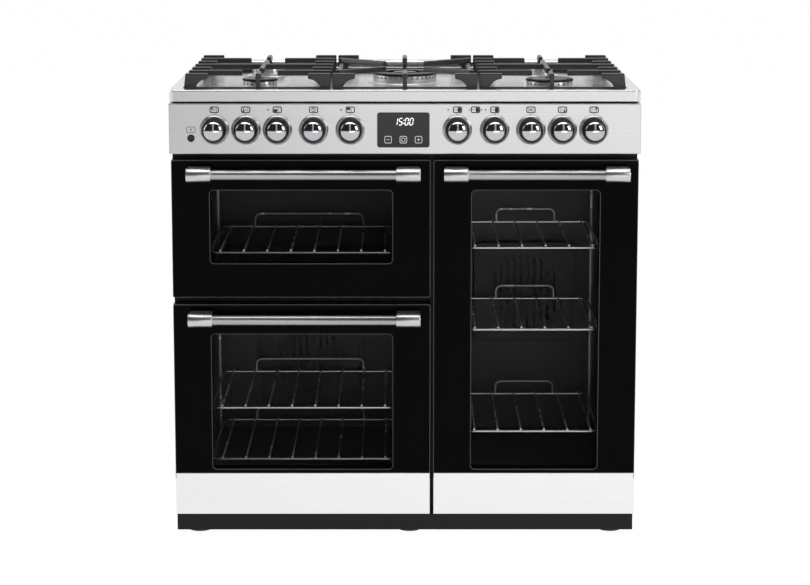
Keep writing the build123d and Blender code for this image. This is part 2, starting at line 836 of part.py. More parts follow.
# Oven cavities: flat walls, rounded corners, a back and a front flange, welded edge to edge
wall_start = cavity_front + sheet + liner_joint
wall_end = cavity_rear - liner_joint
flat_inset = cavity_corner + liner_joint
for cavity in cavities:
    with BuildPart() as oven_box:
        left_x = cavity.x - cavity.width / 2
        right_x = cavity.x + cavity.width / 2
        roof = cavity.floor + cavity.height
        for plate_z in (cavity.floor - sheet, roof):
            block(left_x + flat_inset, right_x - flat_inset, wall_start, wall_end, plate_z, plate_z + sheet)
        for plate_x in (left_x - sheet, right_x):
            block(plate_x, plate_x + sheet, wall_start, wall_end, cavity.floor + flat_inset, roof - flat_inset)
        for corner_x, align_x in ((left_x + cavity_corner, Align.MAX), (right_x - cavity_corner, Align.MIN)):
            for corner_z, align_z in ((cavity.floor + cavity_corner, Align.MAX), (roof - cavity_corner, Align.MIN)):
                with BuildSketch(front_plane(wall_end)):
                    with Locations((corner_x, corner_z)):
                        Circle(cavity_corner + sheet)
                        Circle(cavity_corner, mode=Mode.SUBTRACT)
                        Rectangle(cavity_corner + sheet, cavity_corner + sheet, align=(align_x, align_z),
                                  mode=Mode.INTERSECT)
                extrude(amount=wall_end - wall_start)
        for strip_x in (left_x - cavity_flange, right_x):
            block(strip_x, strip_x + cavity_flange, cavity_front, cavity_front + sheet,
                  cavity.floor - cavity_flange, roof + cavity_flange)
        for strip_z in (cavity.floor - cavity_flange, roof):
            block(left_x + liner_joint, right_x - liner_joint, cavity_front, cavity_front + sheet,
                  strip_z, strip_z + cavity_flange)
        with BuildSketch(front_plane(cavity_rear + sheet)):
            with Locations((cavity.x, cavity.floor + cavity.height / 2)):
                RectangleRounded(cavity.width + 2 * sheet, cavity.height + 2 * sheet, cavity_corner + sheet)
                if cavity.fan:
                    Circle(fan_shaft_radius + fan_shaft_play, mode=Mode.SUBTRACT)
        extrude(amount=sheet)
    save(oven_box, cavity.name)

# Oven insulation: a sleeve of mineral wool round each cavity
with BuildPart() as oven_insulation:
    sleeve_front = cavity_front + sheet
    sleeve_length = cavity_rear - insulation_rear_gap - sleeve_front
    for cavity in cavities:
        with BuildSketch(front_plane(sleeve_front + sleeve_length)):
            with Locations((cavity.x, cavity.floor + cavity.height / 2)):
                wrapped_width = cavity.width + 2 * sheet
                wrapped_height = cavity.height + 2 * sheet
                RectangleRounded(wrapped_width + 2 * insulation, wrapped_height + 2 * insulation,
                                 cavity_corner + insulation)
                RectangleRounded(wrapped_width, wrapped_height, cavity_corner + sheet, mode=Mode.SUBTRACT)
        extrude(amount=sleeve_length)
save(oven_insulation, "oven_insulation")

# Door seals: a soft ring round each oven mouth
with BuildPart() as door_seals:
    for cavity in cavities:
        with BuildSketch(front_plane(frame_front)):
            with Locations((cavity.x, cavity.floor + cavity.height / 2)):
                inner_width = cavity.width + 2 * seal_inset
                inner_height = cavity.height + 2 * seal_inset
                RectangleRounded(inner_width + 2 * seal_width, inner_height + 2 * seal_width,
                                 cavity_corner + seal_inset + seal_width)
                RectangleRounded(inner_width, inner_height, cavity_corner + seal_inset, mode=Mode.SUBTRACT)
        extrude(amount=frame_front - door_back - seal_gap)
save(door_seals, "door_seals")

# Places of the rack wires and the shelf edges, measured in from a cavity wall
upright_inset = rack_clearance + rack_radius
runner_inset = upright_inset + 2 * rack_radius - rack_weld
shelf_inset = upright_inset + rack_radius + rack_clearance + edge_radius
seat_reach = edge_radius + rack_radius + rack_clearance
shelf_seat = sqrt(seat_reach ** 2 - (shelf_inset - runner_inset) ** 2)
shelf_front = cavity_front + sheet + shelf_front_gap
shelf_rear = cavity_rear - shelf_rear_gap
shelf_depth = shelf_rear - shelf_front

# Shelf racks: welded wire ladders on both walls of each cavity
with BuildPart() as shelf_racks:
    for cavity in cavities:
        shelf_levels = [cavity.floor + level for level in cavity.shelves]
        for side in (-1, 1):
            wall_x = cavity.x + side * cavity.width / 2
            upright_x = wall_x - side * upright_inset
            runner_x = wall_x - side * runner_inset
            with BuildSketch(Plane.XY.offset(cavity.floor + cavity_corner)):
                with Locations((upright_x, shelf_front + rack_end_gap), (upright_x, shelf_rear - rack_end_gap)):
                    RegularPolygon(rack_radius, wire_sides)
            extrude(amount=cavity.height - 2 * cavity_corner)
            with BuildSketch(front_plane(shelf_rear)):
                with Locations(*[(runner_x, level - shelf_seat) for level in shelf_levels]):
                    RegularPolygon(rack_radius, wire_sides)
            extrude(amount=shelf_depth)
save(shelf_racks, "shelf_racks")

# Oven shelves: chromed wire grids with a raised fence welded on the rear rail
with BuildPart() as oven_shelves:
    fence_foot = rail_radius * cos(radians(180 / wire_sides)) + fence_joint
    for cavity in cavities:
        half = cavity.width / 2 - shelf_inset
        wire_count = int(2 * half / shelf_pitch)
        wire_places = [(index - (wire_count - 1) / 2) * shelf_pitch for index in range(wire_count)]
        for level in cavity.shelves:
            z = cavity.floor + level
            wire_z = z + rail_radius + wire_radius - shelf_weld
            with BuildSketch(Plane.YZ.offset(cavity.x - half - edge_radius)):
                with Locations((shelf_front + rail_radius, z), (shelf_rear - rail_radius, z)):
                    RegularPolygon(rail_radius, wire_sides)
            extrude(amount=2 * (half + edge_radius))
            with BuildSketch(front_plane(shelf_rear - rail_radius)):
                with Locations((cavity.x - half, z), (cavity.x + half, z)):
                    RegularPolygon(edge_radius, wire_sides)
            extrude(amount=shelf_depth - 2 * rail_radius)
            with BuildSketch(front_plane(shelf_rear)):
                with Locations(*[(cavity.x + offset, wire_z) for offset in wire_places]):
                    RegularPolygon(wire_radius, wire_sides)
            extrude(amount=shelf_depth)
            fence_half = half - fence_inset
            with BuildSketch(Plane.YZ.offset(cavity.x - fence_half)):
                with Locations((shelf_rear - rail_radius, z + fence_height)):
                    RegularPolygon(wire_radius, wire_sides)
            extrude(amount=2 * fence_half)
            with BuildSketch(Plane.XY.offset(z + fence_foot)):
                with Locations((cavity.x - fence_half + wire_radius, shelf_rear - rail_radius),
                               (cavity.x + fence_half - wire_radius, shelf_rear - rail_radius)):
                    RegularPolygon(wire_radius, wire_sides)
            extrude(amount=fence_height - fence_foot)
save(oven_shelves, "oven_shelves")

fan_places = [(cavity.x, cavity.floor + cavity.height / 2) for cavity in cavities if cavity.fan]
fan_cover_front = cavity_rear - fan_cover_depth

# Fan covers: pressed pans over the fans, with upright slots in a round guard
with BuildPart() as fan_covers:
    slot_count = int(2 * fan_guard_radius / fan_slot_pitch)
    slot_places = [(index - (slot_count - 1) / 2) * fan_slot_pitch for index in range(slot_count)]
    for place_x, place_z in fan_places:
        with BuildSketch(front_plane(cavity_rear)):
            with Locations((place_x, place_z)):
                RectangleRounded(fan_cover_size, fan_cover_size, cavity_corner)
        extrude(amount=fan_cover_depth)
        with BuildSketch(front_plane(cavity_rear)):
            with Locations((place_x, place_z)):
                RectangleRounded(fan_cover_size - 2 * sheet, fan_cover_size - 2 * sheet, cavity_corner - sheet)
        extrude(amount=fan_cover_depth - sheet, mode=Mode.SUBTRACT)
        with BuildSketch(front_plane(fan_cover_front + sheet)):
            for offset in slot_places:
                with Locations((place_x + offset, place_z)):
                    Rectangle(fan_slot_width, 2 * sqrt(fan_guard_radius ** 2 - offset ** 2))
        extrude(amount=sheet, mode=Mode.SUBTRACT)
save(fan_covers, "fan_covers")

# Convection fans: radial blades on a disc, with a shaft through the back of the cavity
fan_back = cavity_rear - fan_wall_gap
blade_start = fan_hub_radius - fan_blade_root
blade_end = fan_radius - fan_blade_inset
for name, place in zip(("main_fan", "tall_fan"), fan_places):
    with BuildPart() as fan:
        with BuildSketch(front_plane(fan_back)):
            with Locations(place):
                Circle(fan_radius)
        extrude(amount=fan_disc)
        with BuildSketch(front_plane(fan_back)):
            with Locations(place):
                Circle(fan_hub_radius)
                with PolarLocations((blade_start + blade_end) / 2, fan_blades):
                    Rectangle(blade_end - blade_start, fan_disc)
        extrude(amount=fan_width)
        with BuildSketch(front_plane(cavity_rear + sheet + fan_shaft_reach)):
            with Locations(place):
                Circle(fan_shaft_radius)
        extrude(amount=sheet + fan_shaft_reach + fan_wall_gap)
    save(fan, name)

# Fan motors on the back of the cavities
with BuildPart() as fan_motors:
    with BuildSketch(front_plane(cavity_rear + sheet + motor_length)):
        for place in fan_places:
            with Locations(place):
                Circle(motor_radius)
                Circle(fan_shaft_radius + running_fit, mode=Mode.SUBTRACT)
    extrude(amount=motor_length)
save(fan_motors, "fan_motors")

# Heating elements: a grill element under the roof, and a ring round each fan
with BuildPart() as heating_elements:
    grill = cavities[0]
    element_z = grill.floor + grill.height - grill_element_drop
    element_front = cavity_front + grill_element_front_gap
    element_back = cavity_rear - grill_element_front_gap
    rows = [grill.x + step * grill_element_pitch for step in (-1.5, -0.5, 0.5, 1.5)]
    with BuildLine():
        FilletPolyline(
            (rows[0], cavity_rear, element_z), (rows[0], element_front, element_z),
            (rows[1], element_front, element_z), (rows[1], element_back, element_z),
            (rows[2], element_back, element_z), (rows[2], element_front, element_z),
            (rows[3], element_front, element_z), (rows[3], cavity_rear, element_z),
            radius=grill_element_bend,
        )
    with BuildSketch(front_plane(cavity_rear)):
        with Locations((rows[0], element_z)):
            RegularPolygon(element_radius, wire_sides)
    sweep()
    ring_y = fan_back - fan_width / 2
    for place_x, place_z in fan_places:
        with BuildSketch(Plane((place_x, ring_y, place_z), x_dir=(1, 0, 0), z_dir=(0, 0, 1))):
            with Locations((ring_element_radius, 0)):
                RegularPolygon(element_radius, wire_sides)
        revolve(axis=Axis((place_x, ring_y, place_z), (0, 1, 0)))
        with BuildSketch(front_plane(cavity_rear)):
            with Locations((place_x - fan_hub_radius, place_z + ring_element_radius - element_radius / 2),
                           (place_x + fan_hub_radius, place_z + ring_element_radius - element_radius / 2)):
                RegularPolygon(element_radius, wire_sides)
        extrude(amount=cavity_rear - ring_y)
save(heating_elements, "heating_elements")

# Terminal box on the rear panel, with the hole of its cable gland
with BuildPart() as terminal_box:
    block(terminal_x - terminal_width / 2, terminal_x + terminal_width / 2, back_outer,
          back_outer + terminal_depth, terminal_z - terminal_height / 2, terminal_z + terminal_height / 2)
    block(terminal_x - terminal_width / 2 + sheet, terminal_x + terminal_width / 2 - sheet, back_outer,
          back_outer + terminal_depth - sheet, terminal_z - terminal_height / 2 + sheet,
          terminal_z + terminal_height / 2 - sheet, mode=Mode.SUBTRACT)
    with BuildSketch(Plane.XY.offset(terminal_z - terminal_height / 2)):
        with Locations((terminal_x, back_outer + terminal_depth / 2)):
            Circle(gland_radius)
    extrude(amount=sheet, mode=Mode.SUBTRACT)
save(terminal_box, "terminal_box")


def hinge_axes(door):
    """The two hinge arms of a door, as planes on the hinge axis at the middle of each arm."""
    axis_y = front_y + hinge_depth
    if door.hinge == "bottom":
        axis_z = door.bottom + hinge_edge
        return [Plane((x, axis_y, axis_z), x_dir=(0, 1, 0), z_dir=(1, 0, 0))
                for x in (door.left + hinge_inset, door.right - hinge_inset)]
    axis_x = door.left + hinge_edge if door.hinge == "left" else door.right - hinge_edge
    return [Plane((axis_x, axis_y, z), x_dir=(0, 1, 0), z_dir=(0, 0, 1))
            for z in (door.bottom + hinge_inset, door.top - hinge_inset)]


# Door hinges: arms on the front frame that reach into the doors and carry a pin
with BuildPart() as door_hinges:
    arm_reach = frame_front - front_y - hinge_depth
    for door in doors:
        for plane in hinge_axes(door):
            with BuildSketch(plane.offset(-hinge_arm_thickness / 2)):
                Circle(hinge_arm_radius)
                with Locations((arm_reach / 2, 0)):
                    Rectangle(arm_reach, 2 * hinge_arm_radius)
            extrude(amount=hinge_arm_thickness)
            with BuildSketch(plane.offset(-hinge_foot_width / 2)):
                with Locations((arm_reach - hinge_foot / 2, 0)):
                    Rectangle(hinge_foot, hinge_foot_height)
            extrude(amount=hinge_foot_width)
            pin_half = hinge_arm_thickness / 2 + hinge_pin_reach
            with BuildSketch(plane.offset(-pin_half)):
                Circle(hinge_pin_radius)
            extrude(amount=2 * pin_half)
save(door_hinges, "door_hinges")


def window_of(door):
    """The middle, width and height of a door's window."""
    sill = door.bottom + (door.trim + window_trim_gap if door.trim else window_sill)
    head = door.top - window_top_margin
    width = door.right - door.left - 2 * window_side_margin
    return ((door.left + door.right) / 2, (sill + head) / 2), width, head - sill


for door in doors:
    window, window_width, window_height = window_of(door)
    door_middle = ((door.left + door.right) / 2, (door.bottom + door.top) / 2)
    door_width = door.right - door.left
    door_height = door.top - door.bottom
    pan_front = front_y + outer_glass

    # Door glass: a full outer pane above the trim, and an inner pane behind the window
    with BuildPart() as door_glass:
        glass_bottom = door.bottom + (door.trim + trim_joint if door.trim else 0)
        with BuildSketch(front_plane(pan_front)):
            with Locations((door_middle[0], (glass_bottom + door.top) / 2)):
                RectangleRounded(door_width, door.top - glass_bottom, glass_corner)
        extrude(amount=outer_glass)
        with BuildSketch(front_plane(door_back - sheet)):
            with Locations(window):
                RectangleRounded(window_width + 2 * pane_lap, window_height + 2 * pane_lap, window_corner)
        extrude(amount=inner_glass)
    save(door_glass, f"{door.name}_glass")

    # Door frame: a folded pan with a window, hinge blocks, and a liner that closes its back
    with BuildPart() as door_frame:
        with BuildSketch(front_plane(door_back)):
            with Locations(door_middle):
                Rectangle(door_width, door_height)
        extrude(amount=door_thickness - outer_glass)
        with BuildSketch(front_plane(door_back - sheet)):
            with Locations(door_middle):
                Rectangle(door_width - 2 * sheet, door_height - 2 * sheet)
        extrude(amount=door_thickness - outer_glass - 2 * sheet, mode=Mode.SUBTRACT)
        with BuildSketch(front_plane(door_back)):
            with Locations(window):
                RectangleRounded(window_width, window_height, window_corner)
        extrude(amount=door_thickness - outer_glass, mode=Mode.SUBTRACT)
        if door.hinge == "bottom":
            swing = door_thickness - hinge_depth
            lean = swing - sqrt(swing ** 2 - hinge_edge ** 2)
            axis_z = door.bottom + hinge_edge
            block(door.left + sheet, door.right - sheet, door_back - lean - 2 * sheet, door_back - sheet,
                  door.bottom, axis_z)
            with BuildSketch(Plane.YZ.offset(door.left)):
                with BuildLine():
                    Polyline((door_back, axis_z), (door_back, door.bottom), (door_back - lean, door.bottom), close=True)
                make_face()
            extrude(amount=door_width, mode=Mode.SUBTRACT)
        block_inner = hinge_arm_thickness / 2 + hinge_play
        block_outer = hinge_arm_thickness / 2 + hinge_pin_reach
        block_back = 2 * hinge_arm_radius
        block_front = hinge_depth - outer_glass - sheet
        edge_side = -1 if door.hinge == "left" else 1
        for plane in hinge_axes(door):
            for side in (-1, 1):
                with BuildSketch(plane.offset(side * block_inner)):
                    with Locations(((block_back - block_front) / 2, 0)):
                        Rectangle(block_back + block_front, 2 * (hinge_edge - sheet))
                    Circle(hinge_pin_radius + running_fit, mode=Mode.SUBTRACT)
                extrude(amount=side * (block_outer - block_inner))
            with BuildSketch(plane.offset(-block_inner)):
                with Locations((0, -edge_side * hinge_arm_radius)):
                    Rectangle(2 * door_thickness, 2 * hinge_edge)
            extrude(amount=2 * block_inner, mode=Mode.SUBTRACT)
    save(door_frame, f"{door.name}_frame")

    # Door handle: a tube between two posts that stand on the glass
    with BuildPart() as door_handle:
        handle_z = door.top - handle_drop
        handle_y = front_y - handle_reach + handle_post_radius
        handle_left = door.left + (handle_margin if door.hinge == "right" else left_handle_margin)
        handle_right = door.right - handle_margin
        for post_left in (handle_left, handle_right - handle_post_length):
            with BuildSketch(Plane.YZ.offset(post_left)):
                with Locations((handle_y, handle_z)):
                    Circle(handle_post_radius)
            extrude(amount=handle_post_length)
            with BuildSketch(front_plane(front_y)):
                with Locations((post_left + handle_post_length / 2, handle_z)):
                    Circle(handle_stem_radius)
            extrude(amount=front_y - handle_y)
        tube_left = handle_left + handle_post_length + handle_joint
        tube_right = handle_right - handle_post_length - handle_joint
        with BuildSketch(Plane.YZ.offset(tube_left)):
            with Locations((handle_y, handle_z)):
                Circle(handle_tube_radius)
        extrude(amount=tube_right - tube_left)
    save(door_handle, f"{door.name}_handle")

    # Door trim: a folded steel strip along the foot of the door
    if door.trim:
        with BuildPart() as door_trim:
            block(door.left, door.right, front_y - trim_proud, pan_front, door.bottom, door.bottom + door.trim)
            chamfer(door_trim.faces().sort_by(Axis.Y)[0].edges(), length=hob_edge)
            block(door.left + sheet, door.right - sheet, front_y - trim_proud + sheet, pan_front,
                  door.bottom + sheet, door.bottom + door.trim - sheet, mode=Mode.SUBTRACT)
        save(door_trim, f"{door.name}_trim")

# Ignition button: a plunger in the panel
with BuildPart() as ignition_button:
    with BuildSketch(front_plane(front_y - button_proud + button_length)):
        with Locations((button_x, knob_z - button_drop)):
            Circle(button_radius)
    extrude(amount=button_length)
    chamfer(ignition_button.edges().group_by(Axis.Y)[0], length=sheet / 2)
save(ignition_button, "ignition_button")


def knob_body(x):
    """Add a turned knob with a domed face, a pointer ridge and a bore for its stem."""
    base = front_y - knob_base_gap
    with BuildSketch(Plane((x, base, knob_z), x_dir=(1, 0, 0), z_dir=(0, 0, 1))) as profile:
        with BuildLine():
            Polyline((0, 0), (knob_skirt_radius, 0), (knob_skirt_radius, -knob_skirt_lip),
                     (knob_skirt_top, -knob_skirt_height), (knob_face_radius, -knob_skirt_height),
                     (knob_face_radius, -knob_face_height), (knob_dome_radius, -knob_dome_height),
                     (0, -knob_crown_height), close=True)
        make_face()
    revolve(profile.sketch, axis=Axis((x, base, knob_z), (0, 1, 0)))
    block(x - knob_ridge_width / 2, x + knob_ridge_width / 2, base - knob_ridge_height, base - knob_face_height,
          knob_z, knob_z + knob_ridge_length)
    with BuildSketch(front_plane(base)) as bore:
        with Locations((x, knob_z)):
            Circle(stem_radius + running_fit)
    extrude(bore.sketch, amount=knob_bore_depth, mode=Mode.SUBTRACT)


def stem(x):
    """Add a stem from inside the tap or switch to inside the knob."""
    with BuildSketch(front_plane(panel_inner + stem_in_tap)) as section:
        with Locations((x, knob_z)):
            Circle(stem_radius)
    extrude(section.sketch, amount=panel_inner + stem_in_tap - front_y + knob_base_gap + stem_in_knob)


# Knobs, each with its stem: a gas knob's stem is a piece of its own, because it is also pushed in
for knob in knobs:
    with BuildPart() as knob_piece:
        knob_body(knob.x)
        if not knob.gas:
            stem(knob.x)
    save(knob_piece, f"{knob.name}_knob")
    if knob.gas:
        with BuildPart() as tap_stem:
            stem(knob.x)
        save(tap_stem, f"{knob.name}_stem")
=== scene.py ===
"""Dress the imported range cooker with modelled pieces, finishes, lights and a camera."""

from __future__ import annotations

import json
import logging
import math
from collections.abc import Callable, Iterator, Sequence
from contextlib import contextmanager
from dataclasses import dataclass
from enum import Enum
from typing import Any, ClassVar

import bpy
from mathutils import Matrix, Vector

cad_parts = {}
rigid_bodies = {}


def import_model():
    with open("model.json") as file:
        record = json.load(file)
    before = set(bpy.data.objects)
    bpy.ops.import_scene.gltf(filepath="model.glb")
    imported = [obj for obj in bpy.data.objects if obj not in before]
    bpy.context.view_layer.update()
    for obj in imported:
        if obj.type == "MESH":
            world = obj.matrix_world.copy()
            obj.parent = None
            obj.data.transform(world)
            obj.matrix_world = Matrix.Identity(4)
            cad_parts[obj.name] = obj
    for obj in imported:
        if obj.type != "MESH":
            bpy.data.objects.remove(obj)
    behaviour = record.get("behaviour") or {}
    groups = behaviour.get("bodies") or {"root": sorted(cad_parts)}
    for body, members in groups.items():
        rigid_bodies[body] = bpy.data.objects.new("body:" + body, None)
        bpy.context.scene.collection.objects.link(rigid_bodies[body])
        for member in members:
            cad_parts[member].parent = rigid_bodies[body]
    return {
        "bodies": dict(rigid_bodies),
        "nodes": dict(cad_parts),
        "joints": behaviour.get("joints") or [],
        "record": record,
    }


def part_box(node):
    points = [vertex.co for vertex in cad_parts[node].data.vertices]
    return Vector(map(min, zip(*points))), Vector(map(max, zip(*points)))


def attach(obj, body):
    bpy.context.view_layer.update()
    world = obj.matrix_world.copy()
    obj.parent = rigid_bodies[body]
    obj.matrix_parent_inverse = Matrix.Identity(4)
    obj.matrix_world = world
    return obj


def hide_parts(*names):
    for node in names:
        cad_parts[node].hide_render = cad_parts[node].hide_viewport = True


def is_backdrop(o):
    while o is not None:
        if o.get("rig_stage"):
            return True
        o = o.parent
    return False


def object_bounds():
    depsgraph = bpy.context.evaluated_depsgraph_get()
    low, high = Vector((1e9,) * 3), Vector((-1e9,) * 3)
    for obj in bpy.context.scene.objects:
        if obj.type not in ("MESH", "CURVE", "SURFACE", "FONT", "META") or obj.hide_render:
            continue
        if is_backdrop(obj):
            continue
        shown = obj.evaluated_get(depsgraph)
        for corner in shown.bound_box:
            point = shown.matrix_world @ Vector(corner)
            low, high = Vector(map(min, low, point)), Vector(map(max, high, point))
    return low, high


LOG = logging.getLogger("range_cooker")
MM = 0.001
# The front of the panel and of the door glass, and how far a print's middle stands off, in metres.
FRONT = -0.2775
PRINT_LIFT = 0.00006
# Thickness of a print, in millimetres.
PRINT_THICKNESS = 0.1
# How close two points are merged, in metres, in new meshes and in copies of CAD meshes.
WELD = 1e-6
CAD_WELD = 2e-5
# How far apart in angle two faces count as one plane, in degrees, in the same two.
FLAT_ANGLE = 1.0
CAD_FLAT_ANGLE = 2.0
# The angle past which an edge is shaded sharp, in degrees, on rounded pieces and on wires.
SHARP_ANGLE = 40.0
WIRE_SHARP_ANGLE = 50.0
# How strongly large faces set the normals of a rounded piece.
NORMAL_WEIGHT = 80

Piece = bpy.types.Object
Face = bpy.types.MeshPolygon
Outline = list[tuple[float, float]]
Sides = tuple[float, float, float, float]
Triple = tuple[float, float, float]


class Facing(Enum):
    """The world direction that a piece's own +Z axis is turned to."""

    UP = (0.0, 0.0, 0.0)
    FRONT = (math.pi / 2, 0.0, 0.0)
    BACK = (-math.pi / 2, 0.0, 0.0)
    RIGHT = (0.0, math.pi / 2, 0.0)


# Modelling helpers


def deselect() -> None:
    """Deselect every object."""
    bpy.ops.object.select_all(action="DESELECT")


def pick(piece: Piece) -> None:
    """Make a piece the only selected and the active object."""
    deselect()
    piece.select_set(True)
    bpy.context.view_layer.objects.active = piece


@contextmanager
def editing(piece: Piece, kind: str = "FACE") -> Iterator[None]:
    """Hold a piece in edit mode.

    Args:
        piece: The object to edit.
        kind: The select mode, one of VERT, EDGE and FACE.
    """
    pick(piece)
    bpy.ops.object.mode_set(mode="EDIT")
    bpy.ops.mesh.select_mode(type=kind)
    try:
        yield
    finally:
        bpy.ops.object.mode_set(mode="OBJECT")


def select_faces(piece: Piece, test: Callable[[Face], bool]) -> None:
    """Select the faces that pass a test, and nothing else.

    Args:
        piece: The object whose faces are selected, in object mode.
        test: Takes a face and says whether it is selected.
    """
    mesh = piece.data
    for part in (*mesh.vertices, *mesh.edges):
        part.select = False
    for face in mesh.polygons:
        face.select = test(face)


def settle(piece: Piece) -> Piece:
    """Write an object's place into its mesh, so that it sits at the origin, and return it."""
    pick(piece)
    bpy.ops.object.transform_apply(location=True, rotation=True, scale=True)
    return piece


def stand(piece: Piece, turn: Triple, place: Vector) -> Piece:
    """Turn a piece, move it to its place and settle it.

    Args:
        piece: The object to move.
        turn: Its rotation, in radians.
        place: Its place, in metres.

    Returns:
        The same object.
    """
    piece.rotation_euler = turn
    piece.location = place
    return settle(piece)


def outward(piece: Piece) -> None:
    """Merge a closed mesh's doubles and turn its faces outwards."""
    with editing(piece):
        bpy.ops.mesh.select_all(action="SELECT")
        bpy.ops.mesh.remove_doubles(threshold=WELD)
        bpy.ops.mesh.normals_make_consistent(inside=False)


def merge_flats(piece: Piece) -> None:
    """Merge the faces of a piece that lie in one plane."""
    with editing(piece):
        bpy.ops.mesh.select_all(action="SELECT")
        bpy.ops.mesh.dissolve_limited(angle_limit=math.radians(FLAT_ANGLE))


def smooth(piece: Piece, degrees: float = 35.0) -> None:
    """Shade a piece smooth except across edges sharper than an angle."""
    pick(piece)
    bpy.ops.object.shade_smooth_by_angle(angle=math.radians(degrees))


def round_edges(piece: Piece, width: float, segments: int = 3, angle: float = 40.0) -> None:
    """Round a piece's sharp edges, and let its large faces set its normals.

    Args:
        piece: The object to round.
        width: Width of the rounding, in millimetres.
        segments: Faces across the rounding.
        angle: Edges sharper than this many degrees are rounded.
    """
    pick(piece)
    rounding = piece.modifiers.new("rounding", "BEVEL")
    rounding.width = width * MM
    rounding.segments = segments
    rounding.limit_method = "ANGLE"
    rounding.angle_limit = math.radians(angle)
    rounding.use_clamp_overlap = True
    bpy.ops.object.modifier_apply(modifier=rounding.name)
    smooth(piece, SHARP_ANGLE)
    weighting = piece.modifiers.new("weighting", "WEIGHTED_NORMAL")
    weighting.keep_sharp = True
    weighting.weight = NORMAL_WEIGHT
    bpy.ops.object.modifier_apply(modifier=weighting.name)


def named(piece: Piece, name: str) -> Piece:
    """Name a piece and its mesh, and return it."""
    piece.name = piece.data.name = name
    return piece


def joined(pieces: Sequence[Piece], name: str) -> Piece:
    """Join several objects into one.

    Args:
        pieces: The objects to join.
        name: The name of the result.

    Returns:
        The joined object.
    """
    deselect()
    for piece in pieces:
        piece.select_set(True)
    bpy.context.view_layer.objects.active = pieces[0]
    if len(pieces) > 1:
        bpy.ops.object.join()
    return named(pieces[0], name)


def copied(piece: Piece, name: str, offset: Vector) -> Piece:
    """Copy a piece with its own mesh and move the copy.

    Args:
        piece: The object to copy.
        name: The copy's name.
        offset: How far the copy is moved.

    Returns:
        The copy, settled at the origin.
    """
    pick(piece)
    bpy.ops.object.duplicate()
    twin = named(bpy.context.object, name)
    twin.location = offset
    return settle(twin)


def cube(size: Sequence[float], place: Sequence[float]) -> Piece:
    """Add a cube that is stretched to a size, in metres.

    Args:
        size: Its extent along X, Y and Z.
        place: Its middle.

    Returns:
        The cube, settled at the origin.
    """
    deselect()
    bpy.ops.mesh.primitive_cube_add(size=1.0, location=place)
    piece = bpy.context.object
    piece.scale = size
    return settle(piece)


def block(low: Triple, high: Triple, edge: float = 1.6) -> Piece:
    """Model a block with rounded edges, in millimetres.

    Args:
        low: Its lowest corner.
        high: Its highest corner.
        edge: Width of the rounding.

    Returns:
        The block.
    """
    start, end = Vector(low), Vector(high)
    piece = cube((end - start) * MM, (start + end) / 2 * MM)
    round_edges(piece, edge)
    return piece


def turned(name: str, profile: Outline, place: Vector, facing: Facing = Facing.UP, segments: int = 48,
           hollow: bool = False) -> Piece:
    """Turn a round piece by extruding a circle from station to station.

    Args:
        name: The piece's name.
        profile: Radius and height of each station, in millimetres.
        place: Where the profile's zero height sits, in metres.
        facing: The direction that height grows in.
        segments: Sides of the circle.
        hollow: True where the profile is a closed loop round a bore.

    Returns:
        The piece, settled at the origin.
    """
    deselect()
    radius, height = profile[0]
    bpy.ops.mesh.primitive_circle_add(vertices=segments, radius=radius * MM,
                                      fill_type="NOTHING" if hollow else "NGON", location=(0, 0, height * MM))
    piece = settle(bpy.context.object)
    with editing(piece, "VERT"):
        bpy.ops.mesh.select_all(action="SELECT")
        for next_radius, next_height in profile[1:]:
            rise = (0, 0, (next_height - height) * MM)
            bpy.ops.mesh.extrude_region_move(TRANSFORM_OT_translate={"value": rise})
            ratio = next_radius / radius
            bpy.ops.transform.resize(value=(ratio, ratio, 1), center_override=(0, 0, next_height * MM))
            radius, height = next_radius, next_height
    outward(piece)
    stand(piece, facing.value, place)
    smooth(piece)
    return named(piece, name)


def rounded(sides: Sides, corner: float, inset: float = 0.0, steps: int = 6) -> Outline:
    """Work out a rectangle with rounded corners.

    Args:
        sides: The left, right, lower and upper side.
        corner: The corner radius.
        inset: How far the outline lies inside the sides.
        steps: Points on each corner, less one.

    Returns:
        The outline's points, anticlockwise.
    """
    left, right = sides[0] + inset + corner, sides[1] - inset - corner
    low, high = sides[2] + inset + corner, sides[3] - inset - corner
    points: Outline = []
    for quarter, (x, y) in enumerate(((right, high), (left, high), (left, low), (right, low))):
        for step in range(steps + 1):
            turn = math.pi / 2 * (quarter + step / steps)
            points.append((x + corner * math.cos(turn), y + corner * math.sin(turn)))
    return points


def disc(x: float, y: float, radius: float, sides: int = 20) -> Outline:
    """Work out a circle's points."""
    turns = [2 * math.pi * index / sides for index in range(sides)]
    return [(x + radius * math.cos(turn), y + radius * math.sin(turn)) for turn in turns]


def laid(name: str, paths: Sequence[Sequence[Triple]], closed: bool, **settings: Any) -> Piece:
    """Lay a curve along straight runs and turn it into a mesh.

    Args:
        name: The piece's name.
        paths: The points of each run, in metres.
        closed: True where each run ends at its start.
        settings: The curve's own settings.

    Returns:
        The mesh.
    """
    curve = bpy.data.curves.new(name, "CURVE")
    for setting, value in settings.items():
        setattr(curve, setting, value)
    for path in paths:
        spline = curve.splines.new("POLY")
        spline.points.add(len(path) - 1)
        for point, spot in zip(spline.points, path):
            point.co = (*spot, 1)
        spline.use_cyclic_u = closed
    piece = bpy.data.objects.new(name, curve)
    bpy.context.scene.collection.objects.link(piece)
    pick(piece)
    bpy.ops.object.convert(target="MESH")
    return bpy.context.object


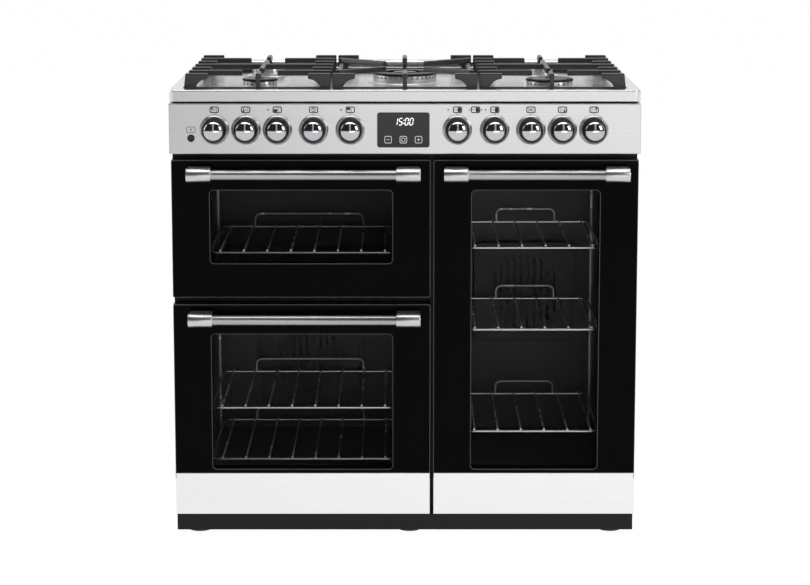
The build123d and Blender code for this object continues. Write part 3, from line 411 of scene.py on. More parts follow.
def cut_sheet(name: str, outlines: Sequence[Outline], place: Vector, thickness: float) -> Piece:
    """Cut a flat sheet that faces the front, with an outline inside another as a hole.

    Args:
        name: The piece's name.
        outlines: Closed outlines, in millimetres.
        place: The middle of the sheet's thickness at the outlines' zero, in metres.
        thickness: The sheet's thickness, in millimetres.

    Returns:
        The sheet, settled at the origin.
    """
    runs = [[(x * MM, y * MM, 0.0) for x, y in outline] for outline in outlines]
    piece = laid(name, runs, True, dimensions="2D", fill_mode="BOTH", extrude=thickness * MM / 2)
    stand(piece, Facing.FRONT.value, place)
    outward(piece)
    return named(piece, name)


def wires(name: str, paths: Sequence[Sequence[Triple]], radius: float) -> Piece:
    """Lay round wires along straight runs.

    Args:
        name: The piece's name.
        paths: The points of each wire, in metres.
        radius: The wire's radius, in metres.

    Returns:
        All the wires as one mesh at the origin.
    """
    piece = laid(name, paths, False, dimensions="3D", bevel_depth=radius, bevel_resolution=3,
                 use_fill_caps=True)
    outward(piece)
    smooth(piece, WIRE_SHARP_ANGLE)
    return named(piece, name)


def softened(node: Piece, name: str, width: float, segments: int = 2, angle: float = 40.0) -> Piece:
    """Copy a CAD node and round its edges.

    Args:
        node: The node's object, which is left as it is.
        name: The copy's name.
        width: Width of the rounding, in millimetres.
        segments: Faces across the rounding.
        angle: Edges sharper than this many degrees are rounded.

    Returns:
        The rounded copy, which stays inside the node's box.
    """
    piece = node.copy()
    piece.data = node.data.copy()
    for key in [key for key in piece.keys() if key.startswith("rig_")]:
        del piece[key]
    piece.parent = None
    piece.name = name
    bpy.context.scene.collection.objects.link(piece)
    pick(piece)
    if piece.data.has_custom_normals:
        bpy.ops.mesh.customdata_custom_splitnormals_clear()
    with editing(piece):
        bpy.ops.mesh.select_all(action="SELECT")
        bpy.ops.mesh.remove_doubles(threshold=CAD_WELD)
        bpy.ops.mesh.dissolve_limited(angle_limit=math.radians(CAD_FLAT_ANGLE))
        bpy.ops.mesh.normals_make_consistent(inside=False)
    round_edges(piece, width, segments, angle)
    low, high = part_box(node.name)
    for vertex in piece.data.vertices:
        vertex.co = Vector(min(max(value, least), most) for value, least, most in zip(vertex.co, low, high))
    return piece


# Finishes


@dataclass(frozen=True)
class Graph:
    """A node tree with short calls that add and link its nodes."""

    tree: bpy.types.NodeTree

    def fill(self, node: bpy.types.Node, inputs: dict[str | int, Any]) -> None:
        """Fill a node's inputs.

        Args:
            node: The node.
            inputs: A value, or the output to link, for each input.
        """
        for key, value in inputs.items():
            if isinstance(value, bpy.types.NodeSocket):
                self.tree.links.new(value, node.inputs[key])
            else:
                node.inputs[key].default_value = value

    def add(self, kind: str, inputs: dict[str | int, Any] | None = None, output: str | int = 0,
            **settings: Any) -> bpy.types.NodeSocket:
        """Add a shader node.

        Args:
            kind: The node's type, without the ShaderNode that starts it.
            inputs: A value, or the output to link, for each input.
            output: The output that is wanted.
            settings: The node's own settings.

        Returns:
            The output.
        """
        node = self.tree.nodes.new(f"ShaderNode{kind}")
        for setting, value in settings.items():
            setattr(node, setting, value)
        self.fill(node, inputs or {})
        return node.outputs[output]

    def math(self, operation: str, *values: Any, clamp: bool = False) -> bpy.types.NodeSocket:
        """Add a Math node and return its output."""
        return self.add("Math", dict(enumerate(values)), operation=operation, use_clamp=clamp)

    def blend(self, share: bpy.types.NodeSocket, first: Any, second: Any) -> bpy.types.NodeSocket:
        """Add a node that mixes two colours and return its output."""
        inputs = {"Factor": share, "A": first, "B": second}
        return self.add("Mix", inputs, "Result", data_type="RGBA")


class Grain(Enum):
    """The surface pattern that a finish carries."""

    BRUSHED = "brushed_grain"
    CAST = "cast_grain"
    FILM = "handling_film"


@dataclass(frozen=True)
class Pattern:
    """How a grain mixes a fine noise with a broad one, and whether it has pits."""

    fine_detail: float
    fine_roughness: float
    fine_share: float
    broad_scale: float
    broad_detail: float
    pitted: bool = False
    mask_low: float = 0.3
    mask_high: float = 0.7

    def group(self, name: str) -> bpy.types.NodeTree:
        """Find the pattern's node group, and build it at its first use.

        Args:
            name: The group's name.

        Returns:
            A group with inputs Scale and Stretch and outputs Mask and Height.
        """
        known = bpy.data.node_groups.get(name)
        if known is not None:
            return known
        tree = bpy.data.node_groups.new(name, "ShaderNodeTree")
        for socket, way, kind in (("Scale", "INPUT", "Float"), ("Stretch", "INPUT", "Vector"),
                                  ("Mask", "OUTPUT", "Float"), ("Height", "OUTPUT", "Float")):
            tree.interface.new_socket(socket, in_out=way, socket_type=f"NodeSocket{kind}")
        graph = Graph(tree)
        given, result = tree.nodes.new("NodeGroupInput"), tree.nodes.new("NodeGroupOutput")
        scale, stretch = given.outputs["Scale"], given.outputs["Stretch"]
        place = graph.add("TexCoord", output="Object")
        spread = graph.add("VectorMath", {0: place, 1: stretch}, "Vector", operation="MULTIPLY")
        fine = graph.add("TexNoise", {"Vector": spread, "Scale": scale, "Detail": self.fine_detail,
                                      "Roughness": self.fine_roughness}, "Fac")
        broad = graph.add("TexNoise", {"Vector": place, "Scale": self.broad_scale,
                                       "Detail": self.broad_detail}, "Fac")
        rest = graph.math("MULTIPLY", broad, 1 - self.fine_share)
        mixed = graph.math("MULTIPLY_ADD", fine, self.fine_share, rest, clamp=True)
        height = fine
        if self.pitted:
            pits = graph.add("TexVoronoi", {"Vector": spread, "Scale": scale}, "Distance")
            height = graph.math("ADD", fine, pits)
        limits = {"Value": mixed, "From Min": self.mask_low, "From Max": self.mask_high}
        mask = graph.add("MapRange", limits, "Result")
        graph.fill(result, {"Mask": mask, "Height": height})
        return tree


PATTERNS: dict[Grain, Pattern] = {
    Grain.BRUSHED: Pattern(3.0, 0.5, 0.75, 3.0, 2.0),
    Grain.CAST: Pattern(4.0, 0.6, 0.5, 14.0, 2.0, True),
    Grain.FILM: Pattern(5.0, 0.5, 0.3, 4.0, 3.0),
}


@dataclass(frozen=True)
class Finish:
    """A surface finish: two colours and a pattern that runs between them."""

    name: str
    dark: Triple
    light: Triple
    rough: tuple[float, float]
    grain: Grain = Grain.FILM
    scale: float = 60.0
    stretch: Triple = (1.0, 1.0, 1.0)
    bump: float = 0.0
    metallic: float = 0.0
    specular: float = 0.5
    alpha: float = 1.0
    glow: float = 0.0

    def material(self) -> bpy.types.Material:
        """Find the finish's material, and build it at its first use.

        Returns:
            The material.
        """
        known = bpy.data.materials.get(self.name)
        if known is not None:
            return known
        material = bpy.data.materials.new(self.name)
        material.use_nodes = True
        graph = Graph(material.node_tree)
        pattern = material.node_tree.nodes.new("ShaderNodeGroup")
        pattern.node_tree = PATTERNS[self.grain].group(self.grain.value)
        graph.fill(pattern, {"Scale": self.scale, "Stretch": self.stretch})
        mask = pattern.outputs["Mask"]
        tint = graph.blend(mask, (*self.dark, 1.0), (*self.light, 1.0))
        polish = {"Value": mask, "To Min": self.rough[0], "To Max": self.rough[1]}
        inputs = {"Base Color": tint, "Roughness": graph.add("MapRange", polish, "Result"),
                  "Metallic": self.metallic, "Specular IOR Level": self.specular, "Alpha": self.alpha}
        if self.bump:
            relief = {"Strength": self.bump, "Distance": MM, "Height": pattern.outputs["Height"]}
            inputs["Normal"] = graph.add("Bump", relief, "Normal")
        if self.glow:
            inputs |= {"Emission Color": tint, "Emission Strength": self.glow}
        graph.fill(material.node_tree.nodes["Principled BSDF"], inputs)
        return material

    def dress(self, piece: Piece) -> None:
        """Make this the only finish of a piece."""
        piece.data.materials.clear()
        piece.data.materials.append(self.material())

    def dress_with(self, other: Finish, piece: Piece, test: Callable[[Face], bool]) -> None:
        """Dress a piece with this finish and another.

        Args:
            other: The second finish.
            piece: The piece.
            test: Takes a face and says whether it has the second finish.
        """
        self.dress(piece)
        piece.data.materials.append(other.material())
        for face in piece.data.polygons:
            face.material_index = int(test(face))


STEEL = Finish("brushed_stainless", (0.53, 0.53, 0.54), (0.60, 0.60, 0.61), (0.30, 0.36), Grain.BRUSHED,
               120.0, (0.02, 1.0, 5.0), 0.008, metallic=1.0)
# A near-white copy of the brushed steel for the door trims, whose extra lightness is painted light.
LIT_DOOR_STRIP_STEEL = Finish("brushed_trim_steel", (0.86, 0.86, 0.87), (0.92, 0.92, 0.93), (0.26, 0.32), Grain.BRUSHED,
              120.0, (0.02, 1.0, 5.0), 0.008, metallic=1.0)
# A lighter, smoother copy of the brushed steel for the upward faces of the hob top and flue trim: painted
# light.
LIT_TOP_STEEL = Finish("brushed_hob_steel", (0.72, 0.72, 0.73), (0.80, 0.80, 0.81), (0.20, 0.28), Grain.BRUSHED,
                   120.0, (0.02, 5.0, 1.0), 0.008, metallic=1.0)
# Darker and lighter copies of one brushed steel for the handle's tube and its end caps: painted shade and
# painted light.
SHADED_TUBE_STEEL = Finish("brushed_handle_steel", (0.40, 0.395, 0.39), (0.46, 0.455, 0.45), (0.32, 0.38),
                    Grain.BRUSHED, 500.0, (1.0, 0.2, 0.2), 0.008, metallic=1.0)
LIT_CAP_STEEL = Finish("brushed_handle_end", (0.58, 0.575, 0.57), (0.65, 0.645, 0.64), (0.32, 0.38),
                   Grain.BRUSHED, 500.0, (1.0, 0.2, 0.2), 0.008, metallic=1.0)
CHROME = Finish("polished_chrome", (0.80, 0.80, 0.81), (0.88, 0.88, 0.89), (0.03, 0.08), metallic=1.0)
BEZEL = Finish("satin_bezel_chrome", (0.78, 0.78, 0.79), (0.86, 0.86, 0.87), (0.26, 0.32), metallic=1.0)
FACE = Finish("polished_knob_face", (0.48, 0.48, 0.50), (0.56, 0.56, 0.58), (0.05, 0.09), metallic=1.0)
POINTER = Finish("silver_pointer", (0.42, 0.42, 0.43), (0.52, 0.52, 0.53), (0.35, 0.45), metallic=0.4)
WIRE = Finish("chromed_wire", (0.84, 0.84, 0.85), (0.94, 0.94, 0.95), (0.22, 0.32), metallic=0.6)
RAIL = Finish("bright_shelf_rail", (0.90, 0.90, 0.91), (0.96, 0.96, 0.97), (0.20, 0.28), metallic=1.0)
GUNMETAL = Finish("dark_knob_skirt", (0.010, 0.009, 0.008), (0.020, 0.018, 0.016), (0.30, 0.38),
                  specular=0.12)
IRON = Finish("satin_cast_iron", (0.024, 0.024, 0.026), (0.042, 0.042, 0.045), (0.30, 0.42), Grain.CAST,
              900.0, bump=0.10)
CAP = Finish("black_cap_enamel", (0.006, 0.006, 0.006), (0.014, 0.014, 0.015), (0.20, 0.34), Grain.CAST,
             700.0, bump=0.02, specular=0.14)
ALLOY = Finish("burner_alloy", (0.80, 0.80, 0.79), (0.93, 0.93, 0.92), (0.14, 0.26), Grain.CAST, 1100.0,
               bump=0.03, metallic=0.7)
PIPE = Finish("pipe_alloy", (0.45, 0.45, 0.45), (0.62, 0.62, 0.62), (0.35, 0.50), Grain.CAST, 600.0,
              bump=0.05, metallic=1.0)
BRASS = Finish("turned_brass", (0.55, 0.40, 0.16), (0.72, 0.55, 0.25), (0.20, 0.34), Grain.BRUSHED, 200.0,
               (1.0, 6.0, 1.0), 0.03, metallic=1.0)
SHEET = Finish("black_sheet_paint", (0.006, 0.006, 0.007), (0.012, 0.012, 0.013), (0.32, 0.45), Grain.CAST,
               1500.0, bump=0.04, specular=0.25)
ZINC = Finish("galvanised_sheet", (0.38, 0.39, 0.40), (0.58, 0.59, 0.60), (0.34, 0.52), Grain.CAST, 90.0,
              bump=0.03, metallic=0.9)
PLATED = Finish("plated_steel", (0.42, 0.42, 0.41), (0.58, 0.58, 0.57), (0.25, 0.40), bump=0.02, metallic=1.0)
DOOR = Finish("black_door_enamel", (0.0035, 0.0035, 0.0038), (0.006, 0.006, 0.0065), (0.10, 0.20),
              specular=0.12)
PRINTED = Finish("black_printed_glass", (0.0010, 0.0010, 0.0011), (0.002, 0.002, 0.0022), (0.03, 0.07),
                 specular=0.035)
PANE = Finish("clear_oven_pane", (0.004, 0.004, 0.005), (0.007, 0.007, 0.008), (0.02, 0.05), specular=0.15,
              alpha=0.05)
# Grey lines on the door glass: a painted highlight round the window, and at the outer edge the ground edge
# with a painted highlight.
HIGHLIGHT_LINE = Finish("grey_printed_line", (0.075, 0.075, 0.078), (0.110, 0.110, 0.115), (0.25, 0.35), specular=0.2)
OVEN = Finish("oven_enamel", (0.085, 0.085, 0.090), (0.135, 0.135, 0.140), (0.18, 0.30), Grain.CAST, 500.0,
              bump=0.05)
GUARD = Finish("dark_fan_enamel", (0.016, 0.016, 0.017), (0.030, 0.030, 0.032), (0.30, 0.42), Grain.CAST,
               500.0, bump=0.05, specular=0.3)
SEAL = Finish("seal_rubber", (0.020, 0.020, 0.020), (0.045, 0.045, 0.045), (0.60, 0.80), Grain.CAST, 1200.0,
              bump=0.2)
WOOL = Finish("mineral_wool", (0.52, 0.47, 0.34), (0.74, 0.70, 0.56), (0.90, 1.0), Grain.CAST, 350.0,
              bump=0.6, specular=0.1)
PLASTIC = Finish("black_moulded_plastic", (0.010, 0.010, 0.010), (0.022, 0.022, 0.022), (0.40, 0.55),
                 Grain.CAST, 1800.0, bump=0.06)
CLOCK = Finish("black_clock_glass", (0.004, 0.004, 0.005), (0.008, 0.008, 0.009), (0.05, 0.10), specular=0.2)
LIT = Finish("lit_segment", (0.82, 0.84, 0.86), (0.92, 0.94, 0.95), (0.40, 0.50), glow=0.9)
# The touch keys' print, which is no lamp, with a faint glow: painted light.
GLOWING_KEY_PRINT = Finish("touch_key_print", (0.55, 0.56, 0.57), (0.68, 0.69, 0.70), (0.40, 0.50), glow=0.25)
INK = Finish("black_panel_ink", (0.006, 0.006, 0.006), (0.014, 0.014, 0.014), (0.40, 0.55), specular=0.3)
NEON = Finish("grey_lamp_lens", (0.22, 0.22, 0.22), (0.32, 0.32, 0.32), (0.20, 0.30))
CERAMIC = Finish("white_ceramic", (0.72, 0.70, 0.66), (0.84, 0.82, 0.78), (0.25, 0.40), bump=0.03)

SLOT_FINISHES: dict[str, Finish] = {
    "black_panel": SHEET, "galvanised": ZINC, "stainless": STEEL, "cast_iron": IRON, "cap_enamel": CAP,
    "burner_alloy": ALLOY, "pipe_alloy": PIPE, "stem_brass": BRASS, "bright_chrome": WIRE, "door_glass": PANE,
    "door_black": DOOR, "oven_enamel": OVEN, "mineral_wool": WOOL, "seal": SEAL, "plated_steel": PLATED,
    "black_plastic": PLASTIC, "clock_face": CLOCK,
}
NODE_FINISHES: dict[str, Finish] = {"main_fan": GUARD, "tall_fan": GUARD, "fan_covers": GUARD}


class Model:
    """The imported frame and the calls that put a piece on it."""

    def __init__(self) -> None:
        """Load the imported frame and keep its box."""
        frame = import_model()
        self.cad_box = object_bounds()
        self.nodes: dict[str, Piece] = frame["nodes"]
        record = frame["record"]
        self.slots = {entry["node"]: entry["material_slot"] for entry in record["subparts"]}
        self.bodies = {node: body for body, nodes in record["behaviour"]["bodies"].items() for node in nodes}
        deselect()

    def dress_nodes(self) -> None:
        """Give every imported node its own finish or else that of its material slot."""
        for name, node in self.nodes.items():
            NODE_FINISHES.get(name, SLOT_FINISHES[self.slots[name]]).dress(node)

    def put(self, piece: Piece, node: str, finish: Finish | None, replaces: bool = False,
            slot: str | None = None) -> None:
        """Dress a piece and let it ride with a node's body.

        Args:
            piece: The piece.
            node: The node that the piece belongs to.
            finish: Its finish, or None where it has been dressed.
            replaces: True where the piece stands for the node.
            slot: Not used.
        """
        if finish is not None:
            finish.dress(piece)
        if replaces:
            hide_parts(node)
        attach(piece, self.bodies[node])
        LOG.info("%s rides on %s", piece.name, self.bodies[node])

    def soften(self, node: str, finish: Finish, width: float, segments: int = 2, angle: float = 40.0) -> None:
        """Show a node by a copy with rounded edges.

        Args:
            node: The node's name.
            finish: The copy's finish.
            width: Width of the rounding, in millimetres.
            segments: Faces across the rounding.
            angle: Edges sharper than this many degrees are rounded.
        """
        piece = softened(self.nodes[node], f"{node}_rounded", width, segments, angle)
        self.put(piece, node, finish, replaces=True)


# The hob


@dataclass
class Burner:
    """A gas burner: its place, its cap's radius and its flame ports, in millimetres."""

    name: str
    x: float
    y: float
    cap: float
    ports: int
    bore: float = 0.0
    sink: float = 1.8
    flange: float = 10.0
    port_low: float = 5.0
    port_high: float = 10.0
    port_depth: float = 3.4
    port_margin: float = 0.1
    port_inset: float = 0.1
    port_wall: float = 2.0
    sides_per_port: int = 4
    crown_inset: float = 2.0
    crown_height: float = 12.0
    sharp_angle: float = 30.0

    def turn(self, part: str, profile: Outline, level: float, segments: int = 64,
             bored: bool = True) -> Piece:
        """Turn one of the burner's parts.

        Args:
            part: The part's name.
            profile: Radius and height of each station.
            level: Height of the part's seat, in metres.
            segments: Sides of the circle.
            bored: True where the burner's bore goes through the part.

        Returns:
            The part.
        """
        place = Vector((self.x * MM, self.y * MM, level))
        return turned(f"{self.name}_burner_{part}", profile, place, segments=segments,
                      hollow=bored and self.bore > 0)

    def crown(self, level: float) -> Piece:
        """Model the crown: a ring of ribs with a flame port between each two.

        Args:
            level: Height of the crown's seat, in metres.

        Returns:
            The crown.
        """
        radius, foot, top = self.cap - self.crown_inset, -self.sink, self.crown_height
        profile = [(radius - 3.0, foot), (radius - 0.8, foot), (radius, foot + 0.8), (radius, self.port_low),
                   (radius, self.port_high), (radius - 0.6, 11.4), (radius - 2.5, top)]
        if self.bore:
            inner = self.bore + self.crown_inset
            profile += [(inner + 2.0, top), (inner, 11.2), (inner, 1.0), (inner + 1.5, foot),
                        (radius - 3.0, foot)]
        crown = self.turn("crown", profile, level, self.ports * self.sides_per_port)
        step = 2 * math.pi / self.ports
        middle = Vector((self.x * MM, self.y * MM, level))

        def is_port(face: Face) -> bool:
            """Say whether a face is the wall of a port."""
            spot = (face.center - middle) / MM
            on_wall = self.port_low + self.port_margin < spot.z < self.port_high - self.port_margin
            if not on_wall or math.hypot(spot.x, spot.y) < radius - self.port_wall:
                return False
            return math.atan2(spot.y, spot.x) % step < step / 2

        select_faces(crown, is_port)
        with editing(crown):
            bpy.ops.mesh.inset(thickness=self.port_inset * MM, use_individual=False)
            bpy.ops.transform.shrink_fatten(value=-self.port_depth * MM)
        smooth(crown, self.sharp_angle)
        return crown

    def lid(self, level: float) -> Piece:
        """Model the cap that sits on the crown.

        Args:
            level: Height of the cap's seat, in metres.

        Returns:
            The cap.
        """
        cap, bore = self.cap, self.bore
        profile = [(cap - 3.0, 0.0), (cap - 0.4, 0.0), (cap, 0.8), (cap - 0.2, 2.6), (cap - 1.4, 3.9)]
        if bore:
            profile += [(cap - 4.0, 4.8), (bore + 3.0, 4.8), (bore + 0.8, 4.0), (bore, 2.0), (bore, 0.0),
                        (cap - 3.0, 0.0)]
        else:
            profile += [(cap - 4.0, 4.6), (cap * 0.6, 4.9), (cap * 0.25, 5.0)]
        return self.turn("cap", profile, level)

    def cup(self, level: float) -> Piece:
        """Model the cup that stands in the hob's well, with a dished flange.

        Args:
            level: Height of the well's floor, in metres.

        Returns:
            The cup.
        """
        cap, edge = self.cap, self.cap + self.flange
        profile = [(cap - 6.0, -26.0), (cap - 4.5, -25.0), (cap - 4.0, -0.5), (edge - 1.0, 0.1), (edge, 0.5),
                   (edge - 0.8, 1.3), (cap + 3.0, 1.7), (cap - 0.5, 1.9), (cap - 5.4, 2.1), (cap - 5.8, 4.0),
                   (cap * 0.5, 4.0)]
        return self.turn("cup", profile, level, bored=False)


@dataclass
class PanSupport:
    """A cast pan support of bars on legs, in millimetres."""

    side: str
    middle: float
    round_burner: bool = False
    half: float = 139.0
    centre: float = 0.5
    pitch: float = 76.0
    top: float = 900.0
    well: float = 864.0
    bar_width: float = 11.0
    bar_height: float = 11.0
    bar_edge: float = 2.4
    bar_taper: float = 0.8
    end_taper: float = 1.2
    corner_bar: float = 43.0
    short_bar: float = 40.0
    long_finger: float = 105.0
    leg_foot: float = 18.0
    leg_splay: float = 4.0
    leg_edge: float = 2.0
    leg_angle: float = 45.0
    leg_steps: int = 8
    end_row: int = 3
    wok_row: int = 2
    rail_inset: float = 9.0
    rail_width: float = 8.0
    rail_height: float = 10.0
    rail_lap: float = 1.0
    post_lap: float = 2.0
    end_finger: float = 56.0
    wok_finger: float = 84.0
    centre_finger: float = 104.0
    wok_tip: tuple[float, float] = (39.0, 63.0)
    wok_post: tuple[float, float] = (5.0, 5.5)

    def bar(self, start: tuple[float, float], end: tuple[float, float]) -> Piece:
        """Model a cast bar with drafted sides and rounded edges.

        Args:
            start: One end of the bar.
            end: The other end.

        Returns:
            The bar, level with the support's top.
        """
        run = Vector((end[0] - start[0], end[1] - start[1]))
        piece = cube((run.length * MM, self.bar_width * MM, self.bar_height * MM), (0, 0, 0))
        select_faces(piece, lambda face: face.normal.z > 0.5)
        with editing(piece):
            taper = (1 - self.end_taper / run.length, self.bar_taper, 1)
            bpy.ops.transform.resize(value=taper, center_override=(0, 0, 0))
        middle = Vector((start[0] + end[0], start[1] + end[1], 2 * self.top - self.bar_height)) / 2
        stand(piece, (0, 0, math.atan2(run.y, run.x)), middle * MM)
        round_edges(piece, self.bar_edge)
        return piece

    def leg(self, outer: float, y: float, inward: int, splay: float) -> Piece:
        """Model a corner bar whose leg sweeps down to a foot in a hollow curve.

        Args:
            outer: The leg's outer side.
            y: The middle of its thickness.
            inward: 1 where the support lies to the right of the leg, else -1.
            splay: How far the foot stands outside the bar.

        Returns:
            The leg.
        """
        rise = self.top - self.bar_height - self.well
        inner = outer + inward * self.corner_bar
        sweep = inward * (self.corner_bar - self.leg_foot)
        outline = [(outer - inward * splay, self.well), (outer, self.top), (inner, self.top),
                   (inner, self.well + rise)]
        for step in range(1, self.leg_steps):
            turn = math.pi / 2 * step / self.leg_steps
            outline.append((inner - sweep * math.sin(turn), self.well + rise * math.cos(turn)))
        outline.append((inner - sweep, self.well))
        piece = cut_sheet("leg", [outline], Vector((0, y * MM, 0)), self.bar_width)
        merge_flats(piece)
        round_edges(piece, self.leg_edge, angle=self.leg_angle)
        return piece

    def frame(self) -> list[Piece]:
        """Model what every support has: legs, side rails and end rails.

        Returns:
            The pieces.
        """
        pieces = []
        reach = self.end_row * self.pitch
        under = self.top - self.bar_height
        middle, width, thick = self.middle, self.rail_width / 2, self.bar_width / 2
        for side in (-1, 1):
            outer = middle + side * self.half
            rail = outer - side * self.rail_inset
            pieces.append(block((rail - width, self.centre - reach, under - self.rail_height),
                                (rail + width, self.centre + reach, under + self.rail_lap)))
            splay = self.leg_splay if side * middle > 0 else 0.0
            pieces += [self.leg(outer, self.centre + end * reach, -side, splay) for end in (-1, 1)]
        for end in (-1, 1):
            y = self.centre + end * reach
            along = self.half - self.rail_inset
            pieces.append(block((middle - along, y - width, self.well),
                                (middle + along, y + width, self.well + self.rail_height)))
            length = self.wok_finger if self.round_burner else self.end_finger
            pieces.append(block((middle - width, y - thick, self.well),
                                (middle + width, y + thick, under + self.post_lap)))
            outer_y = y + end * thick
            pieces.append(self.bar((middle, outer_y), (middle, outer_y - end * length)))
        return pieces

    def wok_fingers(self) -> list[Piece]:
        """Model the slanted fingers over the round burner, each on its post.

        Returns:
            The pieces.
        """
        pieces = []
        across, deep = self.wok_post
        for side in (-1, 1):
            for end in (-1, 1):
                x = side * (self.half - self.rail_inset)
                y = self.centre + end * self.wok_row * self.pitch
                tip = (side * self.wok_tip[0], self.centre + end * self.wok_tip[1])
                pieces.append(self.bar((x, y), tip))
                pieces.append(block((x - across, y - deep, self.well), (x + across, y + deep, self.top)))
        return pieces

    def bars(self) -> list[Piece]:
        """Model the straight bars and fingers over two burners.

        Returns:
            The pieces.
        """
        pieces = []
        left, right = self.middle - self.half, self.middle + self.half
        lengths = {-2: self.long_finger, -1: self.short_bar, 1: self.short_bar, 2: self.long_finger}
        for row, length in lengths.items():
            y = self.centre + row * self.pitch
            pieces += [self.bar((left, y), (left + length, y)), self.bar((right - length, y), (right, y))]
        reach = self.centre_finger
        pieces.append(self.bar((left, self.centre), (right, self.centre)))
        pieces.append(self.bar((self.middle, self.centre - reach), (self.middle, self.centre + reach)))
        return pieces

    def build(self) -> Piece:
        """Build the support and return it."""
        pieces = self.frame() + (self.wok_fingers() if self.round_burner else self.bars())
        return joined(pieces, f"pan_support_{self.side}_cast")


@dataclass
class Hob:
    """The hob top with its burners, pan supports and flue trim, in metres unless said otherwise."""

    model: Model
    well_level: float = 0.864
    crown_level: float = 0.868
    cap_level: float = 0.880
    electrode_offset_mm: float = 4.5
    screw_spread: float = 0.049
    screw_setback: float = 0.008
    front_depth: float = 0.0002
    tray_edge_mm: float = 1.6
    trim_edge_mm: float = 1.0
    burners: tuple[Burner, ...] = (
        Burner("left_rear", -282.0, 152.5, 35.0, 18),
        Burner("left_front", -282.0, -151.5, 35.0, 18),
        Burner("centre_ring", 0.0, 0.5, 65.0, 36, 42.0),
        Burner("centre_core", 0.0, 0.5, 24.0, 14),
        Burner("right_front", 282.0, -151.5, 47.0, 24),
        Burner("right_rear", 282.0, 152.5, 26.0, 14),
    )
    supports: tuple[PanSupport, ...] = (
        PanSupport("left", -282.0), PanSupport("centre", 0.0, True), PanSupport("right", 282.0),
    )

    def build(self) -> None:
        """Build the hob's pieces."""
        put = self.model.put
        self.tray()
        self.model.soften("flue_trim", LIT_TOP_STEEL, self.trim_edge_mm)
        for support in self.supports:
            put(support.build(), f"pan_support_{support.side}", IRON, replaces=True)
        for burner in self.burners:
            put(burner.crown(self.crown_level), "burner_crowns", ALLOY, replaces=True)
            put(burner.lid(self.cap_level), "burner_caps", CAP, replaces=True)
            if burner.name != "centre_core":
                put(burner.cup(self.well_level), "burner_cups", ALLOY, replaces=True)
                self.electrode(burner)
        self.screws()

    def tray(self) -> None:
        """Show the hob top with rounded edges; its upward faces take a lighter copy of the steel as painted
        light, and its front edge the darker panel steel.
        """
        piece = softened(self.model.nodes["hob_top"], "hob_top_rounded", self.tray_edge_mm, 3)
        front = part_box("hob_top")[0].y + self.front_depth
        # The front faces keep the darker panel steel and the rest take the lighter copy: painted shade and
        # painted light.
        LIT_TOP_STEEL.dress_with(STEEL, piece, lambda face: face.center.y < front)
        self.model.put(piece, "hob_top", None, replaces=True)

    def electrode(self, burner: Burner) -> None:
        """Model a burner's spark electrode, a pin in a ceramic sleeve.

        Args:
            burner: The burner that it stands beside.
        """
        y = burner.y + burner.cap + self.electrode_offset_mm
        place = Vector((burner.x * MM, y * MM, self.well_level))
        profile = [(2.4, 3.0), (2.8, 3.2), (2.8, 11.0), (2.2, 12.0), (1.4, 12.2)]
        sleeve = turned(f"{burner.name}_spark_sleeve", profile, place, segments=20)
        self.model.put(sleeve, "burner_cups", CERAMIC)
        profile = [(1.0, 11.5), (1.0, 14.2), (0.4, 15.0)]
        pin = turned(f"{burner.name}_spark_pin", profile, place, segments=12)
        self.model.put(pin, "burner_cups", PLATED)

    def screws(self) -> None:
        """Set the two screws of the flue trim."""
        low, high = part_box("flue_trim")
        profile = [(4.0, -0.5), (4.0, 0.4), (3.2, 1.2), (1.6, 1.5), (1.2, 0.7)]
        for name, side in (("left", -1), ("right", 1)):
            place = Vector((side * self.screw_spread, (low.y + high.y) / 2 - self.screw_setback, high.z))
            self.model.put(turned(f"flue_screw_{name}", profile, place, segments=24), "flue_trim", CHROME)


# The control panel


@dataclass
class KnobShape:
    """The turned form of a control knob, in millimetres from its base."""

    skirt_top: float = 20.0
    ridge_top: float = 36.0
    ridge_size: Triple = (3.8, 12.0, 14.5)
    ridge_rise: float = 8.3
    ridge_edge: float = 1.1
    inner_drop: float = 0.6
    outer_drop: float = 4.6
    skirt_margin: float = 0.05

    def build(self, place: Vector) -> Piece:
        """Model a knob with a dark skirt, a domed bright face and a pointer ridge.

        Args:
            place: The middle of the knob's base, in metres.

        Returns:
            The knob.
        """
        profile = [(20.0, 0.0), (23.2, 0.0), (23.6, 0.8), (23.6, 5.0), (23.0, 11.0), (21.8, 16.0),
                   (20.4, 19.0), (19.2, self.skirt_top), (18.5, self.skirt_top), (18.5, 26.4), (18.2, 27.6),
                   (17.4, 28.6), (15.8, 29.9), (13.2, 31.5), (10.0, 32.8), (6.5, 33.7), (3.0, 34.2),
                   (0.8, 34.3)]
        knob = turned("knob", profile, place, Facing.FRONT, 56)
        skirt = place.y - (self.skirt_top + self.skirt_margin) * MM
        FACE.dress_with(GUNMETAL, knob, lambda face: face.center.y > skirt)
        return joined([knob, self.ridge(place)], "knob")

    def ridge(self, place: Vector) -> Piece:
        """Model the pointer ridge from a cube whose front slopes into the dome.

        Args:
            place: The middle of the knob's base, in metres.

        Returns:
            The ridge.
        """
        size = Vector(self.ridge_size) * MM
        middle = place + Vector((0, size.y / 2 - self.ridge_top * MM, self.ridge_rise * MM))
        ridge = cube(size, middle)
        for vertex in ridge.data.vertices:
            if vertex.co.y < middle.y:
                drop = self.outer_drop if vertex.co.z > middle.z else self.inner_drop
                vertex.co.y = place.y + (drop - self.ridge_top) * MM
        with editing(ridge, "EDGE"):
            bpy.ops.mesh.select_all(action="SELECT")
            bpy.ops.mesh.bevel(offset=self.ridge_edge * MM, segments=3, affect="EDGES")
        smooth(ridge, SHARP_ANGLE)
        ridge.data.materials.append(POINTER.material())
        return ridge


